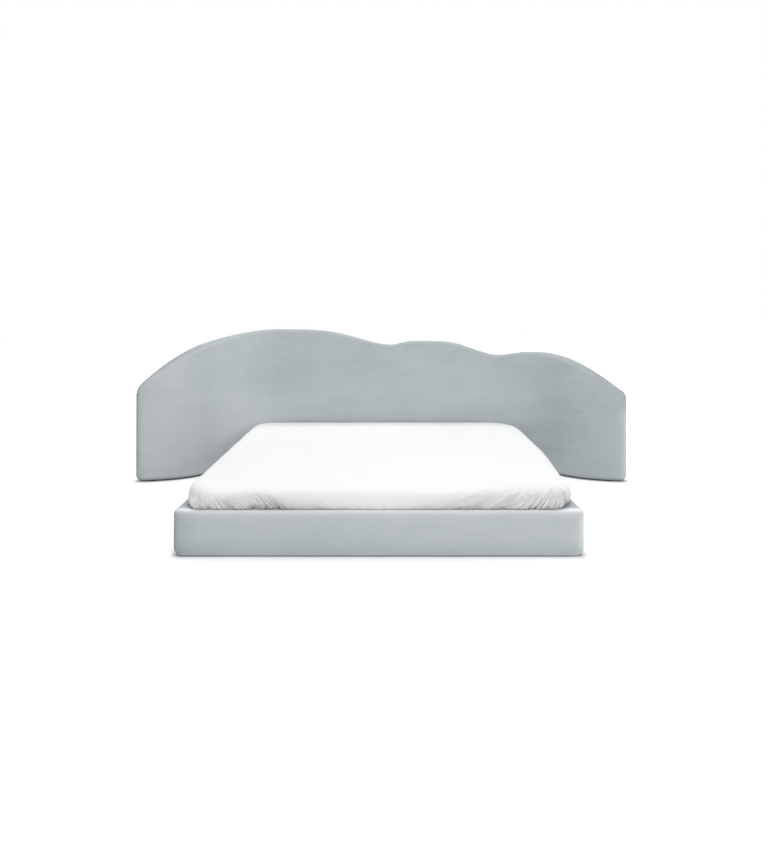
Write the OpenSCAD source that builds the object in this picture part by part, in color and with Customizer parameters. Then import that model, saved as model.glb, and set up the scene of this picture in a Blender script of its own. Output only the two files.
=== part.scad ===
// Low upholstered bed for a child's room. A padded platform carries a slatted base and a mattress,
// and a wide headboard with a cloud-shaped crest sweeps forward in a wing on each side.
// Millimetres. The origin is on the floor under the middle of the whole bed, +X to the right as
// seen from the foot, +Y towards the headboard, +Z up.

/* [Mattress] */
// Width of the mattress, which sets the space between the side rails
mattress_w = 1600; // [1400:10:1800]
// Length of the mattress, which sets the space between the foot rail and the headboard
mattress_l = 2000; // [1900:10:2200]
// Thickness of the mattress at its middle
mattress_h = 180; // [150:5:195]
// Height of the mattress's middle above the top of the rails
mattress_rise = 108; // [95:1:130]
// How far the mattress swells out over the rails
mattress_swell = 68; // [30:1:72]
// How much higher the mattress's middle is than its shoulder
mattress_crown = 9; // [4:1:16]
// Corner radius of the mattress, seen from above
mattress_corner_r = 95; // [60:5:140]
// Thickness of the fitted sheet
sheet_t = 1.6; // [1:0.2:2.4]
// How far the fitted sheet is tucked in under the mattress
sheet_tuck = 140; // [60:10:240]

/* [Rails] */
// Height of the rails, without the glides under them
rail_h = 197; // [185:1:260]
// Thickness of the rails, padding included
rail_t = 92; // [80:1:120]
// Radius of the rails' padded edges
rail_edge_r = 20; // [14:1:30]
// Radius of the platform's front corners
rail_corner_r = 24; // [16:1:34]
// Thickness of the rails' padding
rail_pad = 10; // [6:1:14]
// Thickness of the boards inside the rails
rail_board = 16; // [12:1:20]
// Gap between the mattress and each rail
side_clear = 3; // [3:1:12]
// Gap between the mattress and the headboard
head_clear = 12; // [8:1:30]
// Thickness of the bare rail across the head
head_rail_t = 28; // [20:1:32]
// Height of the bare rail across the head
head_rail_h = 95; // [80:1:100]
// Height of that rail's underside above the floor
head_rail_z = 25; // [20:1:30]

/* [Headboard] */
// How far each wing stands out past the side rail
wing_w = 627; // [450:1:700]
// How far each wing comes forward of the headboard's middle
wing_reach = 507; // [380:1:600]
// How far inside the mattress's edge the headboard starts to bend
bend_inset = 180; // [120:5:260]
// Radius of the inner bend, on the front face
bend_r = 596; // [500:2:680]
// Thickness of the headboard, padding included
board_t = 90; // [84:1:120]
// Radius of the headboard's padded front edge
board_edge_r = 22; // [14:1:28]
// Thickness of the headboard's front padding
board_pad = 28; // [20:1:34]
// Thickness of the padding round the headboard's rim
rim_pad = 12; // [8:1:16]
// Thickness of the bent plywood skins
skin_t = 8; // [5:1:10]
// Thickness of the velvet cover with its lining
cover_t = 2; // [1.5:0.5:3]
// How far the cover folds round onto the back
cover_return = 24; // [16:1:40]
// Distance between the posts, measured along the headboard's front
post_pitch = 350; // [280:10:400]
// Width of the posts
post_w = 45; // [35:1:60]
// Thickness of the sole and the ribs
sole_t = 18; // [12:1:24]
// Height of the ribs above the floor
rib_z = 300; // [200:10:400]
// Number of glides under the headboard
board_glides = 9; // [5:2:13]
// Width of the packers between the headboard and the head rail
packer_w = 70; // [50:1:90]
// How far the headboard's bolts reach into its posts
bolt_grip = 30; // [20:1:34]
// Distance of those bolts from the head rail's edges
bolt_edge = 26; // [20:1:34]

/* [Crest] */
// Place of the highest lobe, from the middle
peak_1_x = -685; // [-720:5:-520]
// Height of the highest lobe above the floor
peak_1_h = 930; // [880:1:1000]
// Place of the first dip
dip_1_x = 65; // [0:5:110]
// Height of the first dip
dip_1_h = 825; // [780:1:870]
// Place of the middle lobe
peak_2_x = 265; // [230:5:340]
// Height of the middle lobe
peak_2_h = 850; // [830:1:900]
// Place of the second dip
dip_2_x = 780; // [740:5:840]
// Height of the second dip
dip_2_h = 758; // [700:1:790]
// Place of the right lobe
peak_3_x = 1030; // [1000:5:1120]
// Height of the right lobe
peak_3_h = 783; // [760:1:820]
// Height of the left end, before its corner is rounded
left_end_h = 585; // [500:1:640]
// Height of the right end, before its corner is rounded
right_end_h = 546; // [480:1:620]
// Radius of the left end's top corner
left_corner_r = 45; // [30:1:80]
// Radius of the right end's top corner
right_corner_r = 24; // [23:1:80]
// Radius of the two bottom corners
foot_corner_r = 36; // [30:1:60]

/* [Slatted base] */
// Width of a slat
slat_w = 68; // [50:1:80]
// Thickness of a slat
slat_t = 8; // [7:1:12]
// How much a slat bows up at its middle
slat_bow = 6; // [3:1:12]
// Distance between slats, middle to middle
slat_pitch = 145; // [110:5:180]
// Height of the long bars that carry the slats
bar_h = 38; // [30:1:40]
// Thickness of the outer and end bars
bar_t = 24; // [18:1:30]
// Width of the middle bar
mid_bar_w = 60; // [44:2:80]
// Wall of the holders that the slats' ends sit in
holder_wall = 3; // [2:0.5:4]
// Length of a slat's end inside its holder
holder_grip = 30; // [20:1:40]

/* [Under the bed] */
// Height of the glides that hold the covers clear of the floor
floor_gap = 6; // [5:1:12]
// Radius of the glides
glide_r = 20; // [12:1:24]
// Height of the ledges that carry the slatted base
ledge_h = 30; // [20:1:34]
// Width of the ledges
ledge_w = 28; // [26:1:40]
// Height of the middle beam
beam_h = 42; // [34:1:44]
// Width of the middle beam
beam_w = 60; // [50:1:80]
// Width of the square legs under the middle beam
leg_w = 50; // [40:1:60]
// Number of legs under the middle beam
leg_count = 3; // [2:1:5]
// Length of each side of the steel corner brackets
bracket_w = 64; // [50:1:80]
// Height of the steel corner brackets
bracket_h = 44; // [36:1:46]
// Thickness of the steel
steel_t = 3; // [2:0.5:4]
// Radius of the connecting bolts
bolt_r = 4; // [3:0.5:5]

/* [Hidden] */
$fn = 48;

// Gap at a seat where two pieces are glued or lie on each other
seat = 0.3;
// Gap round a bolt in its hole
bolt_clear = 0.5;
// Gap that lets a piece be lifted out or slid past another
free_gap = 2;
// Gap, filled with glue, that a straight post or a rim needs beside the bent skins
bend_gap = 1.5;
// How far the outermost glides stand in from an end
glide_inset = 110;

velvet = [0.70, 0.74, 0.76];
foam = [0.93, 0.90, 0.78];
timber = [0.80, 0.66, 0.47];
plywood = [0.85, 0.75, 0.58];
steel = [0.60, 0.62, 0.64];
plastic = [0.20, 0.20, 0.21];
linen = [0.97, 0.97, 0.98];
ticking = [0.93, 0.92, 0.89];

// Plan of the platform
inner_x = mattress_w / 2 + side_clear;
outer_x = inner_x + rail_t;
depth = rail_t + side_clear + mattress_l + head_clear + board_t;
front_y = -depth / 2;
foot_in_y = front_y + rail_t;
board_y = depth / 2 - board_t;
mattress_front_y = foot_in_y + side_clear;
mattress_back_y = board_y - head_clear;

// Heights, from the rails down to the floor
rail_top = floor_gap + rail_h;
mattress_top = rail_top + mattress_rise;
mattress_base = mattress_top - mattress_h;
slat_top = mattress_base - sheet_t - 2 * seat;
slat_end_z = slat_top - slat_bow - slat_t;
bar_top = slat_end_z - seat - holder_wall;
ledge_top = bar_top - bar_h;
beam_base = ledge_top - beam_h;
glide_pad = floor_gap - 1;

// Plan of the headboard's front face: flat, an inner bend, then an outer bend that turns it
// back, so that the wing's end faces forward again
board_x = outer_x + wing_w;
flat_x = mattress_w / 2 - bend_inset;
bend = 2 * atan(wing_reach / (board_x - flat_x));
outer_bend_r = (board_x - flat_x) / sin(bend) - bend_r;
inner_arc = bend_r * bend * PI / 180;
outer_arc = outer_bend_r * bend * PI / 180;
board_s = flat_x + inner_arc + outer_arc;

// How far the face has turned at a distance along it from the middle
function turn_at(s) = let (a = abs(s))
    a <= flat_x ? 0
    : a <= flat_x + inner_arc ? (a - flat_x) / bend_r * 180 / PI
    : max(0, board_s - a) / outer_bend_r * 180 / PI;

// Place on the face, seen from above, at a distance along it from the middle
function face_x(s) = let (a = abs(s), t = turn_at(s)) sign(s) * (
    a <= flat_x ? a
    : a <= flat_x + inner_arc ? flat_x + bend_r * sin(t)
    : board_x - outer_bend_r * sin(t));
function face_y(s) = let (a = abs(s), t = turn_at(s))
    a <= flat_x + inner_arc ? board_y - bend_r * (1 - cos(t))
    : board_y - wing_reach + outer_bend_r * (1 - cos(t));

// The same place moved back through the headboard by d, at height z
function board_point(s, d, z) =
    [face_x(s) + sign(s) * d * sin(turn_at(s)), face_y(s) + d * cos(turn_at(s)), z];

// Place of the face in front of a side rail, on the inner bend
function bend_y(x) = x <= flat_x ? board_y
    : board_y - bend_r + sqrt(pow(bend_r, 2) - pow(x - flat_x, 2));

// The crest: rounded steps between lobes and dips, and a long shoulder to each end
lobe_skew = 1.7;
left_shoulder = 2;
right_shoulder = 1.46;

function step(x, peak, dip) = let (t = pow((x - peak.x) / (dip.x - peak.x), lobe_skew))
    peak.y + (dip.y - peak.y) * (1 - cos(180 * t)) / 2;
function shoulder(x, peak, end, power) = let (u = (x - peak.x) / (end.x - peak.x))
    peak.y + (end.y - peak.y) * pow(max(0, u), power);
function crest(x) =
    x < peak_1_x ? shoulder(x, [peak_1_x, peak_1_h], [-board_x, left_end_h], left_shoulder)
    : x < dip_1_x ? step(x, [peak_1_x, peak_1_h], [dip_1_x, dip_1_h])
    : x < peak_2_x ? step(x, [peak_2_x, peak_2_h], [dip_1_x, dip_1_h])
    : x < dip_2_x ? step(x, [peak_2_x, peak_2_h], [dip_2_x, dip_2_h])
    : x < peak_3_x ? step(x, [peak_3_x, peak_3_h], [dip_2_x, dip_2_h])
    : shoulder(x, [peak_3_x, peak_3_h], [board_x, right_end_h], right_shoulder);

// What a rounded corner takes off a height, at a distance in from the end
function corner(r, in) = in >= r ? 0 : r - sqrt(pow(r, 2) - pow(r - max(0, in), 2));

// Stations along a padded panel between its rounded corners, evenly spread
function middle_stations(half, left_r, right_r, count) =
    [for (i = [0 : count]) -half + left_r + (2 * half - left_r - right_r) * i / count];

// A ring round a padded panel, drawn in by inset: along the top, then back along the bottom.
// Every ring has the same middle stations, and its corners are concentric with the others'.
corner_steps = 4;
function panel_ring(middle, half, place, top, bottom, inset, d) = let (
        share = [for (i = [0 : corner_steps - 1]) 1 - cos(90 * i / corner_steps)],
        end = half - inset, last = middle[len(middle) - 1],
        s = concat(
            [for (f = share) -end + f * (middle[0] + end)],
            middle,
            [for (i = [corner_steps - 1 : -1 : 0]) end - share[i] * (end - last)]),
        n = len(s))
    concat(
        [for (i = [0 : n - 1]) place(s[i], d, top(s[i], inset))],
        [for (i = [n - 1 : -1 : 0]) place(s[i], d, bottom(s[i], inset))]);

// The corners' stations reach further in than any ring is drawn
ring_reach = max(cover_return, board_edge_r, rail_corner_r) + 1;
board_middle = middle_stations(board_s, max(left_corner_r, foot_corner_r, ring_reach),
    max(right_corner_r, foot_corner_r, ring_reach), 60);
board_place = function (s, d, z) board_point(s, d, z);
board_rise = function (s, inset) crest(face_x(s)) - inset
    - corner((s < 0 ? left_corner_r : right_corner_r) - inset, board_s - inset - abs(s));
board_fall = function (s, inset) floor_gap + inset
    + corner(foot_corner_r - inset, board_s - inset - abs(s));
function board_ring(inset, d) =
    panel_ring(board_middle, board_s, board_place, board_rise, board_fall, inset, d);

foot_end = max(rail_edge_r, ring_reach);
foot_middle = middle_stations(outer_x, foot_end, foot_end, 1);
foot_place = function (s, d, z) [s, front_y + d, z];
foot_rise = function (s, inset) rail_top - inset
    - corner(rail_edge_r - inset, outer_x - inset - abs(s));
foot_fall = function (s, inset) floor_gap + inset
    + corner(rail_edge_r - inset, outer_x - inset - abs(s));
function foot_ring(inset, d) =
    panel_ring(foot_middle, outer_x, foot_place, foot_rise, foot_fall, inset, d);

// Insets and depths round a padded edge of radius r, from the face to the side, on a surface
// that lies in behind the outside by deep
edge_steps = 4;
function padded_edge(r, deep) = [for (i = [0 : edge_steps]) let (a = 90 * i / edge_steps)
    [r - (r - deep) * sin(a), r - (r - deep) * cos(a)]];
function mirrored(steps, t) = [for (i = [len(steps) - 1 : -1 : 0]) [steps[i].x, t - steps[i].y]];

// A closed skin over rings that all have as many points. Panels have their two faces filled
// with upright strips, hoops join the last ring to the first, and other skins get flat ends.
// Where a panel twists along a bend, its inside and outside are split along the same diagonals,
// so that layers stay parallel.
module loft(rings, kind = "ends") {
    n = len(rings[0]);
    m = len(rings);
    spans = kind == "hoop" ? m : m - 1;
    mid = floor(n / 4);
    sides = [for (k = [0 : spans - 1])
        let (a = k * n, b = ((k + 1) % m) * n,
            inwards = kind != "ends" && rings[(k + 1) % m][mid].y < rings[k][mid].y)
        for (i = [0 : n - 1]) let (j = (i + 1) % n) each inwards
            ? [[a + i, b + i, a + j], [a + j, b + i, b + j]]
            : [[a + i, b + j, a + j], [a + i, b + i, b + j]]];
    last = (m - 1) * n;
    strips = [for (i = [0 : n / 2 - 2]) let (j = n - 1 - i) each [
        [i, i + 1, j], [i + 1, j - 1, j],
        [last + i, last + j, last + i + 1], [last + i + 1, last + j, last + j - 1]]];
    ends = [[for (i = [0 : n - 1]) i], [for (i = [n - 1 : -1 : 0]) last + i]];
    polyhedron(
        points = [for (r = rings) each r],
        faces = concat(sides, kind == "hoop" ? [] : kind == "panel" ? strips : ends),
        convexity = 8);
}

// A rectangle with rounded corners, from the origin up and to the right
module rounded(w, h, r) {
    translate([r, 0]) square([w - 2 * r, h]);
    translate([0, r]) square([w, h - 2 * r]);
    for (x = [r, w - r], y = [r, h - r]) translate([x, y]) circle(r);
}

// An outline in X and Z, carried from y_0 to y_1
module along_y(y_0, y_1) {
    translate([0, y_1, 0]) rotate([90, 0, 0]) linear_extrude(y_1 - y_0) children();
}

module on_both_sides() {
    children();
    mirror([1, 0, 0]) children();
}

// Headboard, from the front face to the back
pad_back = cover_t + seat + board_pad;
front_skin_d = pad_back + seat;
post_front_d = front_skin_d + skin_t + bend_gap;
lining_d = board_t - cover_t;
back_skin_d = lining_d - seat - skin_t;
post_back_d = back_skin_d - bend_gap;
rim_inset = cover_t + seat;
frame_inset = rim_inset + rim_pad + bend_gap;
back_edge_r = 8;
sole_z = floor_gap + frame_inset;
post_z = sole_z + sole_t + seat;
post_count = 2 * floor((board_s - foot_corner_r - post_w) / post_pitch) + 1;
post_s = [for (i = [0 : post_count - 1]) (i - (post_count - 1) / 2) * post_pitch];

// The bolts that hold the headboard go through the head rail into the two posts beside the
// middle one
board_bolt_x = post_pitch;
board_bolt_z = [head_rail_z + bolt_edge, head_rail_z + head_rail_h - bolt_edge];
head_rail_back = bend_y(inner_x) - free_gap;
head_rail_front = head_rail_back - head_rail_t;

module board_bolt_holes(r) {
    for (x = [-board_bolt_x, board_bolt_x], z = board_bolt_z)
        translate([x, head_rail_front - 1, z]) rotate([-90, 0, 0])
            cylinder(h = board_y + post_front_d + bolt_grip - head_rail_front + 2, r = r);
}

module headboard_front_cover() {
    color(velvet) difference() {
        loft([
            for (p = padded_edge(board_edge_r, 0)) board_ring(p.x, p.y),
            for (p = mirrored(padded_edge(back_edge_r, 0), board_t)) board_ring(p.x, p.y),
            board_ring(cover_return, board_t),
            board_ring(cover_return, lining_d),
            for (p = mirrored([for (i = [4, 2, 0]) padded_edge(back_edge_r, cover_t)[i]], board_t))
                board_ring(p.x, p.y),
            board_ring(cover_t, front_skin_d),
            for (i = [4, 2, 0]) let (p = padded_edge(board_edge_r, cover_t)[i])
                board_ring(p.x, p.y)
        ], "panel");
        board_bolt_holes(bolt_r + bolt_clear);
    }
}

module headboard_back_cover() {
    color(velvet) loft([
        board_ring(cover_return + seat, lining_d), board_ring(cover_return + seat, board_t)
    ], "panel");
}

module headboard_pad() {
    color(foam) difference() {
        loft([
            for (i = [0, 2, 4]) let (p = padded_edge(board_edge_r, rim_inset)[i])
                board_ring(p.x, p.y),
            board_ring(rim_inset, pad_back)
        ], "panel");
        board_bolt_holes(bolt_r + bolt_clear);
    }
}

module headboard_rim_pad() {
    back = mirrored(padded_edge(back_edge_r, rim_inset), board_t);
    color(foam) loft([
        board_ring(rim_inset, front_skin_d), board_ring(back[0].x, back[0].y),
        board_ring(back[4].x, back[4].y), board_ring(rim_inset + rim_pad, lining_d - seat),
        board_ring(rim_inset + rim_pad, front_skin_d)
    ], "hoop");
}

module skin(d) {
    loft([board_ring(frame_inset, d), board_ring(frame_inset, d + skin_t)], "panel");
}

module headboard_front_skin() {
    color(plywood) difference() {
        skin(front_skin_d);
        board_bolt_holes(bolt_r + bolt_clear);
    }
}

module headboard_back_skin() {
    color(plywood) skin(back_skin_d);
}

// A post stands square to the face, and stops under the crest's lower side
module post(s, grow = 0) {
    reach = post_w / 2 + grow;
    top = min(crest(face_x(s - post_w / 2)), crest(face_x(s + post_w / 2))) - frame_inset - 6;
    translate([face_x(s), face_y(s), 0]) rotate([0, 0, -sign(s) * turn_at(s)])
        translate([-reach, post_front_d - grow, post_z])
            cube([2 * reach, post_back_d - post_front_d + 2 * grow, top - post_z]);
}

module headboard_posts() {
    color(timber) difference() {
        for (s = post_s) post(s);
        board_bolt_holes(bolt_r + bolt_clear);
    }
}

// A board that follows the headboard's bends, between its skins and its rounded ends
module bent_board(z) {
    n = len(board_middle);
    front = [for (s = board_middle) board_point(s, front_skin_d + skin_t + seat, 0)];
    back = [for (i = [n - 1 : -1 : 0]) board_point(board_middle[i], back_skin_d - seat, 0)];
    translate([0, 0, z]) linear_extrude(sole_t) polygon([
        for (p = concat(front, back)) [p.x, p.y]]);
}

module headboard_sole() {
    color(plywood) bent_board(sole_z);
}

module headboard_ribs() {
    color(plywood) difference() {
        bent_board(rib_z);
        for (s = post_s) post(s, seat);
    }
}

module headboard_glides() {
    pitch = (board_s - glide_inset) / floor(board_glides / 2);
    color(plastic) for (i = [-floor(board_glides / 2) : floor(board_glides / 2)])
        translate(board_point(i * pitch, board_t / 2, 0))
            cylinder(h = floor_gap, r = glide_r);
}

// Rails. The foot rail runs the full width, and the side rails butt against its back.
core_inset = cover_t + seat + rail_pad + seat;
core_h = rail_h - 2 * core_inset;
core_t = rail_t - 2 * core_inset;
bracket_z = ledge_top - free_gap - bracket_h;
bracket_hole = bracket_w / 2 + 6;
bracket_bolt_z = bracket_z + bracket_h / 2;
bracket_bolt_l = 42;
bolt_head_h = 5;
bolt_head_r = 1.85 * bolt_r;

// The corners of the mattress well: place, and which way the foot or head rail lies from it
well_corners = [for (x = [-1, 1]) each [[x, foot_in_y, 1], [x, head_rail_front, -1]]];

// Bolts through one bracket, pointing out of the well, with children drawn at each bolt's head
module at_bracket_bolts(cross_rails = true, side_rails = true) {
    for (c = well_corners) {
        if (cross_rails) translate([
            c.x * (inner_x - bracket_hole), c.y + c.z * steel_t, bracket_bolt_z])
            rotate([c.z * 90, 0, 0]) children();
        if (side_rails) translate([
            c.x * (inner_x - steel_t), c.y + c.z * bracket_hole, bracket_bolt_z])
            rotate([0, c.x * 90, 0]) children();
    }
}

module bracket_holes() {
    at_bracket_bolts() translate([0, 0, -1])
        cylinder(h = bracket_bolt_l + 4, r = bolt_r + bolt_clear);
}

// Where the headboard is, grown by gap, so that what meets it is cut to its bend
module board_zone(gap) {
    s = [for (i = [0 : 24]) i * board_s / 24];
    translate([0, 0, -1]) linear_extrude(rail_top + mattress_rise) polygon([
        for (a = s) let (p = board_point(a, -gap, 0)) [p.x, p.y],
        [board_x, depth], [0, depth]
    ]);
}

// One hollow board box, as long as the rail's core: two boards with a batten above and below,
// and a block across every so often
module core_box(length) {
    block_pitch = 480;
    block_w = 40;
    blocks = ceil(length / block_pitch);
    difference() {
        cube([core_t, length, core_h]);
        for (i = [0 : blocks - 1]) {
            pitch = (length - block_w) / blocks;
            translate([rail_board, block_w + i * pitch, rail_board])
                cube([core_t - 2 * rail_board, pitch - block_w, core_h - 2 * rail_board]);
        }
    }
}

module foot_rail_core() {
    length = 2 * (outer_x - core_inset);
    color(plywood) difference() {
        translate([length / 2, front_y + core_inset, floor_gap + core_inset])
            rotate([0, 0, 90]) core_box(length);
        bracket_holes();
    }
}

module foot_rail_pad() {
    hollow = core_inset - seat;
    color(foam) difference() {
        loft([
            for (i = [0, 2, 4]) let (p = padded_edge(rail_corner_r, rim_inset)[i])
                foot_ring(p.x, p.y),
            foot_ring(rim_inset, rail_t - rim_inset)
        ], "panel");
        translate([-outer_x + hollow, front_y + hollow, floor_gap + hollow])
            cube([2 * (outer_x - hollow), rail_t, rail_h - 2 * hollow]);
    }
}

module foot_rail_cover() {
    back_r = cover_t + 2;
    color(velvet) {
        loft([
            for (p = padded_edge(rail_corner_r, 0)) foot_ring(p.x, p.y),
            foot_ring(0, rail_t - back_r),
            foot_ring(back_r, rail_t),
            foot_ring(cover_return, rail_t),
            foot_ring(cover_return, rail_t - cover_t),
            foot_ring(cover_t, rail_t - cover_t),
            for (i = [4, 2, 0]) let (p = padded_edge(rail_corner_r, cover_t)[i])
                foot_ring(p.x, p.y)
        ], "panel");
        difference() {
            translate([-outer_x + cover_return + seat, foot_in_y - cover_t,
                floor_gap + cover_return + seat])
                cube([2 * (outer_x - cover_return - seat), cover_t,
                    rail_h - 2 * (cover_return + seat)]);
            bracket_holes();
        }
    }
}

// The right rail's outline with its outside drawn in by inset
module rail_outline(inset) {
    translate([inner_x + inset, floor_gap + inset])
        rounded(rail_t - 2 * inset, rail_h - 2 * inset, rail_edge_r - inset);
}

// Children are an outline in X and Z, which runs along the right rail up to the headboard
module side_rail() {
    difference() {
        along_y(foot_in_y + seat, board_y) children();
        board_zone(1);
        bracket_holes();
    }
}

module side_rail_cover() {
    color(velvet) side_rail() difference() {
        rail_outline(0);
        rail_outline(cover_t);
    }
}

module side_rail_pad() {
    color(foam) side_rail() difference() {
        rail_outline(rim_inset);
        translate([inner_x + core_inset - seat, floor_gap + core_inset - seat])
            square([core_t + 2 * seat, core_h + 2 * seat]);
    }
}

module side_rail_core() {
    back = bend_y(outer_x) - 1 - seat;
    color(plywood) difference() {
        translate([inner_x + core_inset, foot_in_y + seat, floor_gap + core_inset])
            core_box(back - foot_in_y - seat);
        bracket_holes();
    }
}

module left_rail_cover() { mirror([1, 0, 0]) side_rail_cover(); }
module left_rail_pad() { mirror([1, 0, 0]) side_rail_pad(); }
module left_rail_core() { mirror([1, 0, 0]) side_rail_core(); }
module right_rail_cover() { side_rail_cover(); }
module right_rail_pad() { side_rail_pad(); }
module right_rail_core() { side_rail_core(); }

module head_rail() {
    color(timber) difference() {
        translate([-inner_x + seat, head_rail_front, head_rail_z])
            cube([2 * (inner_x - seat), head_rail_t, head_rail_h]);
        board_bolt_holes(bolt_r + bolt_clear);
        bracket_holes();
    }
}

module headboard_packers() {
    color(timber) difference() {
        for (x = [-board_bolt_x, board_bolt_x])
            translate([x - packer_w / 2, head_rail_back, head_rail_z])
                cube([packer_w, board_y - seat - head_rail_back, head_rail_h]);
        board_bolt_holes(bolt_r + bolt_clear);
    }
}

// A hexagon bolt: its head's underside at the origin, its shank up along Z
module bolt(length) {
    translate([0, 0, -bolt_head_h]) cylinder(h = bolt_head_h, r = bolt_head_r, $fn = 6);
    cylinder(h = length, r = bolt_r);
}

module headboard_bolts() {
    color(steel) for (x = [-board_bolt_x, board_bolt_x], z = board_bolt_z)
        translate([x, head_rail_front, z]) rotate([-90, 0, 0])
            bolt(board_y + post_front_d + bolt_grip - head_rail_front - 1);
}

module corner_brackets() {
    color(steel) difference() {
        for (c = well_corners) {
            x_0 = c.x > 0 ? inner_x - bracket_w : -inner_x;
            y_0 = c.z > 0 ? c.y : c.y - bracket_w;
            x_leg = c.x > 0 ? inner_x - steel_t : -inner_x;
            y_leg = c.z > 0 ? c.y : c.y - steel_t;
            translate([x_leg, y_0, bracket_z]) cube([steel_t, bracket_w, bracket_h]);
            translate([x_0, y_leg, bracket_z]) cube([bracket_w, steel_t, bracket_h]);
        }
        bracket_holes();
    }
}

module bracket_bolts() {
    color(steel) at_bracket_bolts() bolt(bracket_bolt_l);
}

module rail_glides() {
    half_w = outer_x - rail_t;
    side_l = bend_y(outer_x) - rail_t - foot_in_y;
    color(plastic) {
        for (i = [-2 : 2]) translate([i * half_w / 2, front_y + rail_t / 2, 0])
            cylinder(h = floor_gap, r = glide_r);
        on_both_sides() for (i = [1 : 4])
            translate([inner_x + rail_t / 2, foot_in_y + i * side_l / 4, 0])
                cylinder(h = floor_gap, r = glide_r);
    }
}

// What carries the slatted base
ledge_front = foot_in_y + bracket_w + free_gap;
ledge_back = head_rail_front - bracket_w - free_gap;

module ledge() {
    translate([inner_x - ledge_w, ledge_front, ledge_top - ledge_h])
        cube([ledge_w, ledge_back - ledge_front, ledge_h]);
}

module left_ledge() { color(timber) mirror([1, 0, 0]) ledge(); }
module right_ledge() { color(timber) ledge(); }

beam_front = foot_in_y + steel_t + seat;
beam_back = head_rail_front - steel_t - seat;

module centre_beam() {
    color(timber) translate([-beam_w / 2, beam_front, beam_base])
        cube([beam_w, beam_back - beam_front, beam_h]);
}

// A folded steel shoe at each end of the beam: a back plate, a seat and two cheeks
module beam_shoes() {
    shoe_l = 50;
    flange = 26;
    w = beam_w + 2 * seat;
    base = beam_base - steel_t;
    color(steel) for (e = [[foot_in_y, 1], [head_rail_front, -1]])
        translate([0, e.x, base]) mirror([0, (1 - e.y) / 2, 0]) {
            translate([-w / 2 - steel_t, 0, 0]) cube([w + 2 * steel_t, shoe_l, steel_t]);
            for (x = [-w / 2 - steel_t, w / 2])
                translate([x, 0, 0]) cube([steel_t, shoe_l, beam_h + steel_t]);
            translate([-w / 2 - flange, 0, 0])
                cube([w + 2 * flange, steel_t, beam_h + steel_t]);
        }
}

leg_y = [for (i = [1 : leg_count])
    beam_front + i * (beam_back - beam_front) / (leg_count + 1)];

module centre_legs() {
    color(timber) for (y = leg_y) translate([-leg_w / 2, y - leg_w / 2, glide_pad])
        cube([leg_w, leg_w, beam_base - glide_pad]);
}

module leg_glides() {
    color(plastic) for (y = leg_y) translate([0, y, 0])
        cylinder(h = glide_pad, r = min(glide_r, leg_w / 2 - 2));
}

// Slatted base, which lifts out in one piece
base_x = inner_x - free_gap;
base_front = foot_in_y + free_gap + bolt_head_h;
base_back = head_rail_front - free_gap - bolt_head_h;
slat_in_x = 7;
slat_out_x = base_x - 2 * holder_wall;
slat_l = slat_out_x - slat_in_x;
slat_mid_x = (slat_in_x + slat_out_x) / 2;
slat_r = (pow(slat_l / 2, 2) + pow(slat_bow, 2)) / (2 * slat_bow);
slat_steps = 8;
slat_count = floor((base_back - base_front - 2 * bar_t - slat_w) / slat_pitch) + 1;
slat_y = [for (i = [0 : slat_count - 1])
    (base_front + base_back) / 2 + (i - (slat_count - 1) / 2) * slat_pitch];
// How far a slat has risen above its ends at a place along it
function slat_rise(x) = slat_bow - slat_r + sqrt(pow(slat_r, 2) - pow(x - slat_mid_x, 2));
holder_lift = slat_rise(slat_out_x - holder_grip);

module slat_bars() {
    color(timber) {
        on_both_sides() translate([base_x - bar_t, base_front, ledge_top])
            cube([bar_t, base_back - base_front, bar_h]);
        translate([-mid_bar_w / 2, base_front + bar_t, ledge_top])
            cube([mid_bar_w, base_back - base_front - 2 * bar_t, bar_h]);
    }
}

module slat_end_bars() {
    color(timber) for (y = [base_front, base_back - bar_t])
        translate([-base_x + bar_t, y, ledge_top])
            cube([2 * (base_x - bar_t), bar_t, bar_h]);
}

// One bowed slat across the right half of the bed
module slat() {
    x = [for (i = [0 : slat_steps]) slat_in_x + i * slat_l / slat_steps];
    along_y(-slat_w / 2, slat_w / 2) polygon([
        for (i = [0 : slat_steps]) [x[i], slat_end_z + slat_rise(x[i])],
        for (i = [slat_steps : -1 : 0]) [x[i], slat_end_z + slat_rise(x[i]) + slat_t]
    ]);
}

module right_slats() {
    color(timber) for (y = slat_y) translate([0, y, 0]) slat();
}

module left_slats() {
    mirror([1, 0, 0]) right_slats();
}

// The pocket that a slat's outer end sits in, ending at x, with its mouth towards the middle
module pocket(x, way) {
    low = slat_end_z - seat;
    translate([way > 0 ? x - holder_grip - 1 : x, -slat_w / 2 - seat, low])
        cube([holder_grip + 1, slat_w + 2 * seat, slat_t + holder_lift + 2 * seat]);
}

module slat_holders() {
    wide = slat_w + 2 * (seat + holder_wall);
    tall = slat_t + holder_lift + 2 * (seat + holder_wall);
    outer_l = holder_grip + 2 * holder_wall;
    inner_half = slat_in_x + holder_grip;
    color(plastic) for (y = slat_y) translate([0, y, 0]) {
        on_both_sides() difference() {
            translate([base_x - outer_l, -wide / 2, bar_top]) cube([outer_l, wide, tall]);
            pocket(slat_out_x + seat, 1);
        }
        difference() {
            translate([-inner_half, -wide / 2, bar_top]) cube([2 * inner_half, wide, tall]);
            on_both_sides() pocket(slat_in_x - seat, -1);
        }
    }
}

// Mattress. Its side is a list of places, each how far out from the mattress's own plan and how
// high, from under the middle, round the swollen side, to the crown.
well_edge_r = 14;
shoulder_in = 20;
swell_low = rail_top + sheet_t + 2 * seat + 1;
swell_high = mattress_top - mattress_crown;
fullest = 0.41;
swell_mid = swell_low + fullest * (swell_high - swell_low);
low_power = 0.35;
high_power = 0.75;
swell_steps = 5;
crown_steps = 4;

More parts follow.
